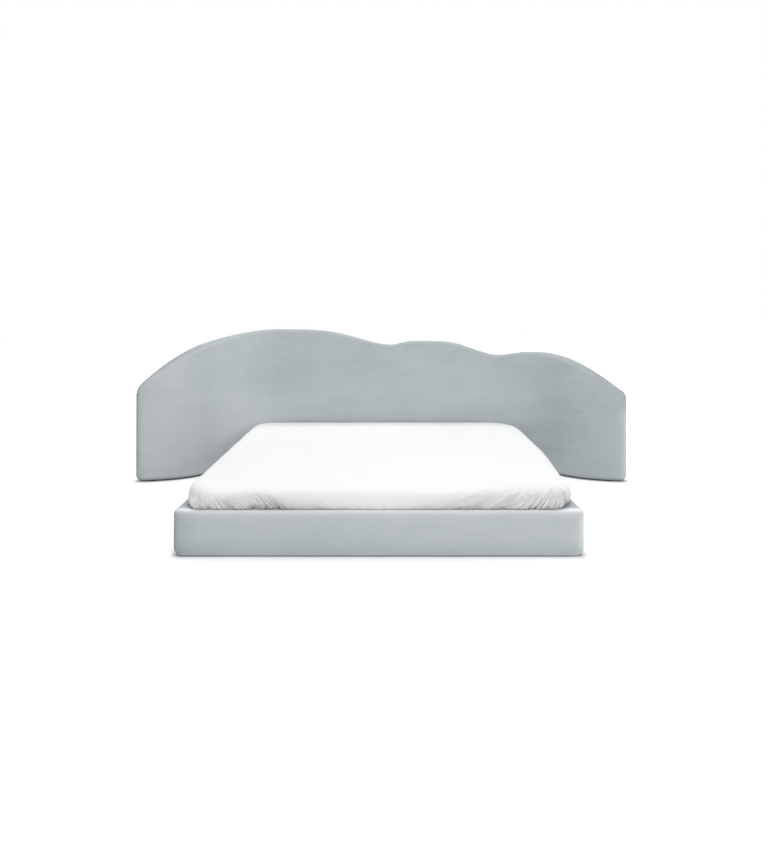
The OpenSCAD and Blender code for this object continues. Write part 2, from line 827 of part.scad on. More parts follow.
function swell_side(from_out, t) = let (power = t < 0 ? low_power : high_power) [
    from_out + (mattress_swell - from_out) * pow(cos(t), power),
    swell_mid + sign(t) * (t < 0 ? swell_mid - swell_low : swell_high - swell_mid)
        * pow(abs(sin(t)), power)];
function crown_place(f) = [
    -shoulder_in - f * (mattress_w / 2 - 2 * shoulder_in),
    swell_high + mattress_crown * sin(90 * f)];

under_side = [
    [-well_edge_r, mattress_base],
    [-0.3 * well_edge_r, mattress_base + 0.3 * well_edge_r],
    [0, mattress_base + well_edge_r]];
swollen_side = [
    for (i = [0 : swell_steps - 1]) swell_side(0, -90 + 90 * i / swell_steps),
    for (i = [0 : swell_steps]) swell_side(-shoulder_in, 90 * i / swell_steps)];
crown_side = [for (i = [1 : crown_steps]) crown_place(i / (crown_steps + 0.5))];
mattress_side = concat(under_side, swollen_side, crown_side);

// The side moved out by d, square to itself
function moved_out(side, d) = [for (i = [0 : len(side) - 1]) let (
        a = side[max(0, i - 1)], b = side[min(len(side) - 1, i + 1)], v = (b - a) / norm(b - a))
    side[i] + d * [v.y, -v.x]];

// Seen from above, a rounded rectangle that is out past the mattress's own plan, and cloth round
// it is grow further out. The headboard keeps the mattress's back from swelling, and its bend
// presses the head corners rounder than the foot corners.
ring_steps = 5;
head_corner_press = 30;
function mattress_ring(out, z, grow = 0) = let (
        x = mattress_w / 2 + out + grow,
        front = mattress_front_y - out - grow,
        back = mattress_back_y + min(out, 0) + grow,
        foot_r = max(well_edge_r, mattress_corner_r + out) + grow,
        head_r = foot_r + head_corner_press,
        arcs = [
            [x - foot_r, front + foot_r, foot_r, -90], [x - head_r, back - head_r, head_r, 0],
            [-x + head_r, back - head_r, head_r, 90], [-x + foot_r, front + foot_r, foot_r, 180]])
    [for (c = arcs) for (i = [0 : ring_steps]) let (a = c[3] + 90 * i / ring_steps)
        [c.x + c.z * cos(a), c.y + c.z * sin(a), z]];

module mattress() {
    color(ticking) loft([for (p = mattress_side) mattress_ring(p.x, p.y)]);
}

// The sheet is pulled over the mattress and gathered in under its edge
module fitted_sheet() {
    tuck = [[-sheet_tuck, mattress_base], [-sheet_tuck / 2, mattress_base]];
    side = concat(tuck, mattress_side);
    outside = moved_out(side, seat + sheet_t);
    inside = moved_out(side, seat);
    n = len(side);
    color(linen) loft([
        for (i = [n - 1 : -1 : 0])
            mattress_ring(side[i].x, inside[i].y, inside[i].x - side[i].x),
        for (i = [0 : n - 1])
            mattress_ring(side[i].x, outside[i].y, outside[i].x - side[i].x)
    ]);
}

headboard_front_cover();
headboard_back_cover();
headboard_pad();
headboard_rim_pad();
headboard_front_skin();
headboard_back_skin();
headboard_posts();
headboard_sole();
headboard_ribs();
headboard_glides();
headboard_packers();
headboard_bolts();
foot_rail_cover();
foot_rail_pad();
foot_rail_core();
left_rail_cover();
left_rail_pad();
left_rail_core();
right_rail_cover();
right_rail_pad();
right_rail_core();
head_rail();
corner_brackets();
bracket_bolts();
rail_glides();
left_ledge();
right_ledge();
centre_beam();
beam_shoes();
centre_legs();
leg_glides();
slat_bars();
slat_end_bars();
left_slats();
right_slats();
slat_holders();
mattress();
fitted_sheet();
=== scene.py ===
"""The looks of a low upholstered bed with a cloud crest: velvet, sheet, mattress and fixings."""

import math

import bpy
import numpy as np
from bpy.props import (
    BoolProperty, FloatProperty, FloatVectorProperty, IntProperty, PointerProperty,
)
from bpy.types import Operator, Panel, PropertyGroup
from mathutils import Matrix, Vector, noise


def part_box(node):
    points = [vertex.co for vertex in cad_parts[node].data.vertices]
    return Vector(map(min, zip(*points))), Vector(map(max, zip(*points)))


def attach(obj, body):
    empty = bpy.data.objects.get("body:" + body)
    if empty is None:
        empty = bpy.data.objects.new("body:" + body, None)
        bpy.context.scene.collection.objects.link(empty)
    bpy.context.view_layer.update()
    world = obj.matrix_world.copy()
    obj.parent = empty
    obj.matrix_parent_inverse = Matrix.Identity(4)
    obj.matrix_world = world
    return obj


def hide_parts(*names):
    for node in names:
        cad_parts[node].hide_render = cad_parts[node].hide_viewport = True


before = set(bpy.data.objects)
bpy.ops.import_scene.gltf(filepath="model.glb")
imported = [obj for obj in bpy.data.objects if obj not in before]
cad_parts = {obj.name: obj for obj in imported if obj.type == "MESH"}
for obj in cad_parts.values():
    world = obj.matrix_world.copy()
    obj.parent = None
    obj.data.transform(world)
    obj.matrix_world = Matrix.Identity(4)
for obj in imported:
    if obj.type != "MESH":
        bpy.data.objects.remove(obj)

bl_info = {
    "name": "Cloud Bed",
    "version": (1, 0, 0),
    "blender": (4, 5, 0),
    "location": "View3D > Sidebar > Bed",
    "description": "Dresses the frame of a padded child's bed in velvet, cotton and timber",
    "category": "Object",
}


# Sizes and colours

def length(name, description, default):
    return FloatProperty(
        name=name, description=description, default=default, unit="LENGTH", precision=4)


def watts(name, description, default):
    return FloatProperty(name=name, description=description, default=default, unit="POWER")


def share(name, description, default, most=1.0):
    return FloatProperty(name=name, description=description, default=default, min=0, max=most)


def colour(name, description, default):
    return FloatVectorProperty(
        name=name, description=description, default=default, size=3, subtype="COLOR",
        min=0, max=1)


BOARD_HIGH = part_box("headboard_front_cover")[1]
FOOT_LOW, FOOT_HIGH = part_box("foot_rail_cover")
MATTRESS_LOW, MATTRESS_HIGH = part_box("mattress")


class BedSizes(PropertyGroup):
    """Sizes that the soft pieces share with the frame."""
    board_t: length("Headboard thickness", "Padding included", 0.090)
    board_end_x: length("Headboard half width", "From the middle to a wing's end", BOARD_HIGH.x)
    board_back_y: length("Headboard back", "Place of the flat back", BOARD_HIGH.y)
    flat_x: length("Flat half width", "Where the headboard starts to bend", 0.620)
    wing_reach: length("Wing reach", "How far a wing comes forward", 0.507)
    bend_r: length("Inner bend", "Radius of the inner bend, on the front", 0.596)
    edge_r: length("Headboard edge", "Radius of the padded front edge", 0.022)
    back_edge_r: length("Back edge", "Radius of the headboard's back edge", 0.008)
    cover_return: length("Cover return", "How far the velvet folds onto the back", 0.024)
    rail_t: length("Rail thickness", "Padding included", 0.092)
    rail_top: length("Rail top", "Height of the rails' top", FOOT_HIGH.z)
    floor_gap: length("Floor gap", "Height of the covers above the floor", FOOT_LOW.z)
    rail_edge_r: length("Rail edge", "Radius of the rails' long edges", 0.020)
    rail_corner_r: length("Rail corner", "Radius of the platform's front corners", 0.024)
    mattress_w: length("Mattress width", "Width of the mattress's plan", 1.600)
    mattress_l: length("Mattress length", "Length of the mattress's plan", 2.000)
    swell: length("Swell", "How far the mattress swells over the rails", 0.068)
    foot_swell: length("Foot swell", "How far the dressed mattress swells at the foot", 0.0955)
    left_swell: length("Left swell", "The same on the left", 0.057)
    right_swell: length("Right swell", "The same on the right, by the foot", 0.066)
    right_lean: length("Right lean", "How much further it leans over the right rail", 0.046)
    corner_r: length("Mattress corner", "Corner radius of the mattress's plan", 0.095)
    low_corner_r: length("Low corner", "Radius of the foot corners down at the rail", 0.026)
    head_corner_r: length("Head corner", "Radius of the head corners at the fullest", 0.130)
    press: length("Press", "How deep the swollen side is pressed on the rail", 0.012)
    shoulder: length("Shoulder", "How far in the top's edge lies", 0.020)
    crown: length("Crown", "How much higher the middle is than the shoulder", 0.009)
    tuck: length("Tuck", "How far the sheet goes in under the mattress", 0.140)
    corner_cut: length("Corner cut", "Side of the square cut off each corner of the sheet", 0.25)
    sheet_gap: length("Sheet", "From the mattress to the sheet's outside", 0.0019)


class VelvetLook(PropertyGroup):
    """The velvet of the headboard and the rails."""
    mid: colour("Velvet", "Colour of the brushed nap", (0.536, 0.586, 0.602))
    dark: colour("Shaded nap", "Where the nap leans away", (0.495, 0.546, 0.562))
    light: colour("Raised nap", "Where the nap leans to the light", (0.572, 0.617, 0.631))
    sheen: share("Sheen", "Strength of the nap's rim of light", 0.14)
    # Strengths of the painted shade and the painted highlight that each vertex's painted light
    # mixes into the velvet
    painted_shade: share("Border", "How much the nap darkens where it is laid over an edge", 0.14)
    painted_highlight: share("Catch", "How much it lightens where it stands up to the light", 0.33)
    softness: length("Unevenness", "Depth of the padding's slow waves", 0.0012)


class SheetLook(PropertyGroup):
    """The fitted sheet."""
    white: colour("Cotton", "Colour of the sheet", (0.94, 0.94, 0.945))
    depth: share("Creases", "How deep the pulls and gathers are", 1.0, 3.0)
    # Painted shade, mixed into the sheet's colour at the creases' bottoms
    shade: share("Crease shade", "How dark the bottoms of the creases are", 0.22)
    seed: IntProperty(name="Seed", description="Which pulls are drawn", default=11)


class StageLook(PropertyGroup):
    """The light and the floor."""
    sky: share("Sky", "Strength of the even light", 0.37, 3.0)
    front: watts("Front", "Power of the low lamp in front of the foot", 85)
    side: watts("Side", "Power of the soft lamp far on the right", 50)
    overhead: watts("Overhead", "Power of the soft lamp above the foot", 180)
    back: watts("Back", "Power of the soft lamp above the head", 300)
    rear: watts("Rear", "Power of the soft lamp behind the headboard", 200)
    floor_glow: share("Floor glow", "What is added to the floor for the camera", 0.20, 2.0)
    white_floor: BoolProperty(name="White floor", description="Floor fades to white",
                              default=True)


# Meshes

def add(name, data):
    """A new object in the scene."""
    made = bpy.data.objects.new(name, data)
    bpy.context.scene.collection.objects.link(made)
    return made


def new_piece(name, points, faces, body, slot, material, sharp=40):
    """A smooth mesh piece that rides on a body, with edges steeper than sharp kept crisp."""
    mesh = bpy.data.meshes.new(name)
    mesh.from_pydata(np.asarray(points, float).tolist(), [], faces)
    mesh.validate()
    mesh.shade_smooth()
    mesh.set_sharp_from_angle(angle=math.radians(sharp))
    mesh.materials.append(material)
    piece = add(name, mesh)
    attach(piece, body)
    return piece


def keep(mesh, name, values):
    """Keeps a number or a vector at each vertex, for a finish or a tree to read."""
    values = np.asarray(values, float)
    kind, key = ("FLOAT_VECTOR", "vector") if values.ndim > 1 else ("FLOAT", "value")
    mesh.attributes.new(name, kind, "POINT").data.foreach_set(key, values.ravel())


def near(distance, reach):
    """A weight that fades from 1 with distance."""
    return np.exp(-np.maximum(0, distance) / reach)


def part(value, start, run):
    """How much of a run past its start a value has covered, from 0 to 1."""
    return np.clip((value - start) / run, 0, 1)


def smooth(value):
    """Eases a value from 0 to 1 at both ends."""
    value = np.clip(value, 0, 1)
    return value * value * (3 - 2 * value)


def quads(index, wrap=False, flip=False):
    """Faces over a grid of vertex numbers, wrapped round its second axis where asked."""
    index = np.asarray(index)
    if wrap:
        index = np.concatenate([index, index[:, :1]], axis=1)
    a, b, c, d = index[:-1, :-1], index[:-1, 1:], index[1:, 1:], index[1:, :-1]
    order = (a, b, c, d) if flip else (a, d, c, b)
    return np.stack(order, axis=-1).reshape(-1, 4).tolist()


def tube(loops, flip=False):
    """Points and faces of loops joined one to the next."""
    points = np.concatenate(loops)
    return points, quads(np.arange(len(points)).reshape(len(loops), -1), wrap=True, flip=flip)


def waves(points, scale, seed, stretch=(1, 1, 1)):
    """Smooth noise from -1 to 1 at each point."""
    at = np.asarray(points, float) * scale * np.asarray(stretch, float) + seed * 17.3
    return np.array([noise.noise(p) for p in at.tolist()])


def face_waves(s, z, scale, seed, stretch=(1, 1, 1)):
    """The same over an upright face, by place along it and height."""
    points = np.stack([s, 0 * s, z], -1).reshape(-1, 3)
    return waves(points, scale, seed, stretch).reshape(np.shape(s))


def run_along(line):
    """How far along a line each of its points lies."""
    return np.append(0, np.cumsum(np.linalg.norm(np.diff(line, axis=0), axis=1)))


def level(ring, z):
    """A ring seen from above, at a height."""
    return np.column_stack([ring, np.full(len(ring), z)])


def corner_drop(r, inside):
    """What a rounded corner of radius r takes off a height, at a distance in from the end."""
    r = max(r, 0)
    return r - np.sqrt(np.maximum(0, r * r - np.maximum(0, r - np.maximum(0, inside)) ** 2))


def rounded(corners, cells, steps):
    """Points round a shape with round corners, each given by its centre, radius and first
    angle, with the way that each point faces and its share of the straight side it is on."""
    points, facing, shares = [], [], []
    for (x, y, r, start), count, then in zip(corners, cells, corners[1:] + corners[:1]):
        a = np.radians(start + 90 * np.arange(steps + 1) / steps)
        way = np.stack([np.cos(a), np.sin(a)], axis=-1)
        step = np.arange(1, count)[:, None] / count
        bend = np.array([x, y]) + r * way
        points += [bend, bend[-1] * (1 - step) + (np.array(then[:2]) + then[2] * way[-1]) * step]
        facing += [way, np.repeat(way[-1:], count - 1, axis=0)]
        shares += [0 * a, step[:, 0]]
    return [np.concatenate(rows) for rows in (points, facing, shares)]


class Headboard:
    """The headboard's bent face and its cloud-shaped crest."""
    crest_points = ((-0.685, 0.930), (0.065, 0.825), (0.265, 0.850), (0.780, 0.758),
                    (1.030, 0.783))
    end_heights = (0.585, 0.546)
    top_corner_r = (0.045, 0.024)
    foot_corner_r = 0.036
    lobe_skew = 1.7
    shoulder_powers = (2.0, 1.46)

    def __init__(self, size):
        self.size = size
        run = size.board_end_x - size.flat_x
        self.bend = 2 * math.atan(size.wing_reach / run)
        self.outer_r = run / math.sin(self.bend) - size.bend_r
        self.inner_end = size.flat_x + size.bend_r * self.bend
        self.half = self.inner_end + self.outer_r * self.bend
        self.face_y = size.board_back_y - size.board_t

    def turn(self, s):
        """How far the face has turned at a distance along it."""
        inner = np.maximum(0, np.abs(s) - self.size.flat_x) / self.size.bend_r
        outer = np.maximum(0, self.half - np.abs(s)) / self.outer_r
        return np.where(np.abs(s) <= self.inner_end, inner, outer)

    def xy(self, s, d):
        """Place at a distance s along the face and a depth d behind it, seen from above."""
        size, a, t, side = self.size, np.abs(s), self.turn(s), np.sign(s)
        on_inner = a <= self.inner_end
        x = np.where(a <= size.flat_x, a, np.where(
            on_inner, size.flat_x + size.bend_r * np.sin(t),
            size.board_end_x - self.outer_r * np.sin(t)))
        y = np.where(on_inner, self.face_y - size.bend_r * (1 - np.cos(t)),
                     self.face_y - size.wing_reach + self.outer_r * (1 - np.cos(t)))
        return side * x + side * d * np.sin(t), y + d * np.cos(t)

    def crest(self, x):
        (x1, h1), (x2, h2), (x3, h3), (x4, h4), (x5, h5) = self.crest_points
        end = self.size.board_end_x

        def step(px, ph, dx, dh):
            t = part(x, px, dx - px) ** self.lobe_skew
            return ph + (dh - ph) * (1 - np.cos(math.pi * t)) / 2

        def fall(px, ph, ex, eh, curve):
            return ph + (eh - ph) * part(x, px, ex - px) ** curve

        return np.select(
            [x < x1, x < x2, x < x3, x < x4, x < x5],
            [fall(x1, h1, -end, self.end_heights[0], self.shoulder_powers[0]),
             step(x1, h1, x2, h2), step(x3, h3, x2, h2), step(x3, h3, x4, h4),
             step(x5, h5, x4, h4)],
            fall(x5, h5, end, self.end_heights[1], self.shoulder_powers[1]))

    def place(self, s, d, z):
        x, y = self.xy(s, d)
        return np.stack([x, y, z], axis=-1)

    def top(self, s, inset):
        inside = self.half - inset - np.abs(s)
        left, right = (corner_drop(r - inset, inside) for r in self.top_corner_r)
        return self.crest(self.xy(s, 0)[0]) - inset - np.where(s < 0, left, right)

    def bottom(self, s, inset):
        inside = self.half - inset - np.abs(s)
        return self.size.floor_gap + inset + corner_drop(self.foot_corner_r - inset, inside)


class FootRail:
    """The straight rail across the foot, as wide as the platform."""
    # How much wider it is than the frame's cover, how far it hangs below it, and how much its
    # underside rises as it is drawn in
    fullness = 1.003
    hang = 0.0042
    rise_in = 0.18
    low_corner_r = 0.036

    def __init__(self, size):
        self.size = size
        self.half = FOOT_HIGH.x

    def place(self, s, d, z):
        return np.stack([s * self.fullness, FOOT_LOW.y + d + 0 * s, z], axis=-1)

    def drop(self, s, inset, r):
        return corner_drop(r - inset, self.half - inset - np.abs(s))

    def top(self, s, inset):
        return self.size.rail_top - inset - self.drop(s, inset, self.size.rail_edge_r)

    def bottom(self, s, inset):
        return self.size.floor_gap - self.hang + self.rise_in * inset + self.drop(
            s, inset, self.low_corner_r)


class PaddedPanel:
    """A padded panel over a form such as the headboard: rings round its edge, given by how far
    they are drawn in and how deep they lie, with the first and the last ring filled."""
    corner_steps = 9

    def __init__(self, form, left_r, right_r, pitch, rows):
        self.form, self.rows = form, rows
        count = round((2 * form.half - left_r - right_r) / pitch)
        self.middle = np.linspace(-form.half + left_r, form.half - right_r, count + 1)
        self.columns = len(self.middle) + 2 * self.corner_steps

    def stations(self, inset):
        """Places along the panel, closer together towards its ends."""
        step = 1 - np.cos(np.linspace(0, math.pi / 2, self.corner_steps + 1)[:-1])
        end = self.form.half - inset
        return np.concatenate([
            -end + step * (self.middle[0] + end), self.middle,
            (end - step * (end - self.middle[-1]))[::-1]])

    def edges(self, inset):
        """The stations, with the top and the bottom at each."""
        s = self.stations(inset)
        return s, self.form.top(s, inset), self.form.bottom(s, inset)

    def placed(self, s, d, z, shift):
        return self.form.place(s, d - (shift(s, z) if shift else 0) + 0 * z, z)

    def ring(self, inset, d, shift=None):
        """Points round the panel: along the top, down an end, along the bottom and up."""
        s, high, low = self.edges(inset)
        down = np.arange(1, self.rows) / self.rows
        right = high[-1] + (low[-1] - high[-1]) * down
        left = (high[0] + (low[0] - high[0]) * down)[::-1]
        along = np.concatenate([s, 0 * right + s[-1], s[::-1], 0 * left + s[0]])
        return self.placed(along, d, np.concatenate([high, right, low[::-1], left]), shift)

    def fill(self, inset, d, shift=None):
        """The points inside a ring, row by row."""
        s, high, low = self.edges(inset)
        down = np.arange(1, self.rows)[:, None] / self.rows
        z = (high + (low - high) * down)[:, 1:-1]
        return self.placed(np.broadcast_to(s[1:-1], z.shape), d, z, shift).reshape(-1, 3)

    def sheet_of(self, ring, inner):
        """Vertex numbers of a filled face, from the first number of its ring and its inside."""
        n, m = self.columns, self.rows
        grid = np.zeros((m + 1, n), int)
        grid[0] = ring + np.arange(n)
        grid[1:m, -1] = ring + n + np.arange(m - 1)
        grid[m] = ring + n + m - 1 + np.arange(n)[::-1]
        grid[1:m, 0] = ring + 2 * n + m - 1 + np.arange(m - 1)[::-1]
        grid[1:m, 1:-1] = inner + np.arange((m - 1) * (n - 2)).reshape(m - 1, n - 2)
        return grid

    def strips(self, ring):
        """Upright strips over the last ring, where nothing of the face shows."""
        n, m = self.columns, self.rows
        right = [ring + n + i for i in range(m - 1)]
        foot = [ring + n + m - 1 + i for i in range(n)][::-1]
        left = [ring + 2 * n + m - 1 + i for i in range(m - 1)]
        faces = [[ring + i, ring + i + 1, foot[i + 1], foot[i]] for i in range(1, n - 2)]
        faces.append([ring, ring + 1, foot[1], foot[0], *left])
        faces.append([ring + n - 2, ring + n - 1, *right, foot[n - 1], foot[n - 2]])
        return faces

    def build(self, rings, shift=None, both_filled=False):
        """Points and faces, with the first ring filled in front and the last one behind."""
        points, faces = tube([self.ring(inset, d, shift and shift(d)) for inset, d in rings])
        last = len(points) - len(points) // len(rings)
        faces += quads(self.sheet_of(0, len(points)))
        points = np.concatenate([points, self.fill(*rings[0], shift and shift(rings[0][1]))])
        if both_filled:
            faces += quads(self.sheet_of(last, len(points)), flip=True)
            points = np.concatenate([points, self.fill(*rings[-1])])
        else:
            faces += [f[::-1] for f in self.strips(last)]
        return points, faces


def arc(r, inset, depth, steps, back=False):
    """Rings round a padded edge of radius r, from the face to the side or on to the back."""
    angles = np.linspace(0, math.pi / 2, steps + 1)
    if back:
        return [(inset + r - r * math.cos(a), depth - r + r * math.sin(a)) for a in angles]
    return [(inset + r - r * math.sin(a), depth + r - r * math.cos(a)) for a in angles]


def wrapped(front_r, back_r, depth, bulge, side_rings, back_steps):
    """Rings over a padded side: round in front, a little full between, and round behind."""
    rings = arc(front_r, 0, 0, 8)
    for f in np.linspace(0, 1, side_rings + 2)[1:-1]:
        rings.append((-bulge * math.sin(math.pi * f), front_r + (depth - front_r - back_r) * f))
    return rings + arc(back_r, 0, depth, back_steps, back=True)


class MattressPlan:
    """Rounded rectangles round the mattress: columns run round it, from the right foot corner,
    up the right side, along the head, down the left side and back along the foot."""
    # How much narrower the foot is down at the rail, on the left and on the right, how far
    # from the foot that fades out, and over what height the foot corners are squared
    low_taper = (0.034, 0.064)
    taper_run = 0.30
    square_rise = 0.055
    # How far from the foot the lean to the right is full, and the tightest foot corner
    lean_run = 1.1
    least_r = 0.014

    def __init__(self, size, across, along, corner):
        self.size, self.across, self.along, self.corner = size, across, along, corner
        self.foot_y = MATTRESS_LOW.y + size.swell
        self.head_y = self.foot_y + size.mattress_l

    def squared(self, z):
        """How far the foot corners are squared at a height: fully where they meet the rail."""
        return smooth(1 - (z - self.size.rail_top) / self.square_rise)

    def ring(self, out, grow=0.0, squared=0.0):
        """Points seen from above, and the way each faces."""
        size = self.size
        full = max(out, 0) / size.swell
        flat = size.mattress_w / 2 + min(out, 0) + grow
        right, left = flat + full * size.right_swell, -flat - full * size.left_swell
        foot = self.foot_y - min(out, 0) - full * size.foot_swell - grow
        head = self.head_y + min(out, 0) + grow
        foot_r = max(self.least_r, size.corner_r + out) + grow
        head_r = foot_r + full * (size.head_corner_r - foot_r)
        foot_r += squared * min(1, 1.3 * full) * (size.low_corner_r - foot_r)
        corners = [(right - foot_r, foot + foot_r, foot_r, -90),
                   (right - head_r, head - head_r, head_r, 0),
                   (left + head_r, head - head_r, head_r, 90),
                   (left + foot_r, foot + foot_r, foot_r, 180)]
        points, facing, _ = rounded(corners, [self.along, self.across] * 2, self.corner)
        back = smooth((points[:, 1] - self.foot_y) / self.lean_run)
        aside = np.clip(points[:, 0] / size.mattress_w * 2, 0, 1)
        points[:, 0] += full * size.right_lean * back * aside ** 4
        by_foot = part(foot + self.taper_run - points[:, 1], 0, self.taper_run) ** 2
        way = points[:, 0] / size.mattress_w * 2
        taper = np.where(way < 0, *self.low_taper)
        points[:, 0] -= squared * full * by_foot * taper * np.clip(way, -1, 1) ** 3
        return points, facing

    def sides(self, ring):
        """A ring's right side, head, left side and foot, its corners halfway round each arc."""
        a, b = self.across + self.corner, self.along + self.corner
        ring = np.roll(ring, -(self.corner // 2), axis=0)
        foot = np.concatenate([ring[2 * b + a:], ring[:1]])
        return ring[:b + 1], ring[b:b + a + 1][::-1], ring[b + a:2 * b + a + 1][::-1], foot

    def face(self, first, inner):
        """Vertex numbers of the grid that fills a ring."""
        a, b = self.across + self.corner, self.along + self.corner
        grid = np.zeros((b + 1, a + 1), int)
        grid[:, a], grid[b], grid[:, 0], grid[0] = self.sides(np.arange(2 * (a + b)) + first)
        grid[1:b, 1:a] = inner + np.arange((b - 1) * (a - 1)).reshape(b - 1, a - 1)
        return grid

    def inside(self, edge):
        """Points of that grid's inside, spread between the ring's four sides."""
        right, head, left, foot = self.sides(edge)
        u = np.linspace(0, 1, len(foot))[None, :, None]
        v = np.linspace(0, 1, len(right))[:, None, None]
        patch = ((1 - v) * foot[None] + v * head[None] + (1 - u) * left[:, None]
                 + u * right[:, None] - (1 - u) * (1 - v) * foot[0] - u * (1 - v) * foot[-1]
                 - (1 - u) * v * head[0] - u * v * head[-1])
        return patch[1:-1, 1:-1].reshape(-1, 3)


# From the rails' top up to the mattress's side, where on its swollen side it is fullest, as a
# share of the height, the radius of its low edge, and the most that the rails' edges let it sag
REST_GAP, FULLEST, LOW_EDGE_R, MOST_SAG = 0.0032, 0.41, 0.014, 0.006
# How square the side's curve is below and above its fullest
SIDE_CURVES = (0.66, 0.74)


def side_profile(size, steps):
    """The mattress's side, as how far out and how high, from its base to the top's edge."""
    base, low = MATTRESS_LOW.z, size.rail_top + REST_GAP
    high = MATTRESS_HIGH.z - size.crown
    fullest, r = low + FULLEST * (high - low), LOW_EDGE_R
    a = np.linspace(-math.pi / 2, math.pi / 2, steps)
    below = a < 0
    curve = np.where(below, *SIDE_CURVES)
    start = np.where(below, 0, -size.shoulder)
    out = start + (size.swell - start) * np.abs(np.cos(a)) ** curve
    reach = np.where(below, low - size.press - fullest, high - fullest)
    z = np.maximum(low, fullest + reach * np.abs(np.sin(a)) ** curve)
    turn = np.linspace(0, math.pi / 2, 5)
    under = np.stack([-r + r * np.sin(turn), base + r - r * np.cos(turn)], -1)
    well = np.stack([np.zeros(5), np.linspace(base + r, low, 6)[1:]], -1)
    return np.concatenate([under, well, np.stack([out, z], -1)[1:]])


def rail_drop(size, points):
    """How far the rails' round edges fall away beneath points on the mattress's side."""
    front = corner_drop(size.rail_corner_r, points[:, 1] - FOOT_LOW.y)
    side = corner_drop(size.rail_edge_r, FOOT_HIGH.x - np.abs(points[:, 0]))
    return np.minimum(np.maximum(front, side), MOST_SAG)


def crown_rise(size, points):
    """How far the top rises above its edge."""
    x = np.abs(points[:, 0]) / (size.mattress_w / 2 - size.shoulder)
    middle = (MATTRESS_LOW.y + size.swell) + size.mattress_l / 2
    y = np.abs(points[:, 1] - middle) / (size.mattress_l / 2 - size.shoulder)
    return size.crown * (1 - np.clip(x, 0, 1) ** 3.2) * (1 - np.clip(y, 0, 1) ** 3.2)


def spaced(profile, pitch):
    """The same line with points evenly apart."""
    run = run_along(profile)
    at = np.linspace(0, run[-1], max(2, round(run[-1] / pitch)) + 1)
    return np.stack([np.interp(at, run, profile[:, i]) for i in (0, 1)], -1)


def side_normals(profile):
    """Which way each place on the side faces: out and up."""
    slope = np.gradient(profile, axis=0)
    slope /= np.linalg.norm(slope, axis=1)[:, None]
    return np.stack([slope[:, 1], -slope[:, 0]], -1)


def edge_tube(plan, out, z, width, height, steps=8, ripple=0.0, pitch=0.017):
    """A closed tube that follows the mattress's plan, its width rippled where asked."""
    ring, facing = plan.ring(out)
    wavy = ripple * np.sin(run_along(ring) * 2 * math.pi / pitch)[:, None]
    loops = [level(ring + facing * (width * math.cos(a) + wavy), z + height * math.sin(a))
             for a in np.linspace(0, 2 * math.pi, steps, endpoint=False)]
    index = np.arange(steps * len(ring)).reshape(steps, -1)
    return np.concatenate(loops), quads(np.concatenate([index, index[:1]]), wrap=True, flip=True)


# Finishes

class Nodes:
    """A node tree whose nodes are made, set and linked in one call."""

    def __init__(self, tree):
        self.tree = tree

    def link(self, value, socket):
        """Puts another node's output or a plain value on a socket."""
        if isinstance(value, bpy.types.NodeSocket):
            self.tree.links.new(value, socket)
        else:
            socket.default_value = value

    def node(self, kind, settings=None, **inputs):
        made = self.tree.nodes.new(kind)
        for key, value in (settings or {}).items():
            setattr(made, key, value)
        for label, value in inputs.items():
            self.link(value, made.inputs[label.replace("_", " ")])
        return made

    def math(self, operation, a, b=0):
        made = self.node("ShaderNodeMath", {"operation": operation})
        self.link(a, made.inputs[0])
        self.link(b, made.inputs[1])
        return made.outputs[0]

    def times(self, a, b):
        return self.math("MULTIPLY", a, b)

    def plus(self, a, b):
        return self.math("ADD", a, b)

    def less(self, a, b):
        return self.math("SUBTRACT", a, b)

    def seen(self):
        """1 where a surface is looked at, straight or in metal and glass, and 0 for its light."""
        rays = self.node("ShaderNodeLightPath").outputs
        shiny = self.math("MAXIMUM", rays["Is Glossy Ray"], rays["Is Transmission Ray"])
        return self.math("MAXIMUM", rays["Is Camera Ray"], shiny)


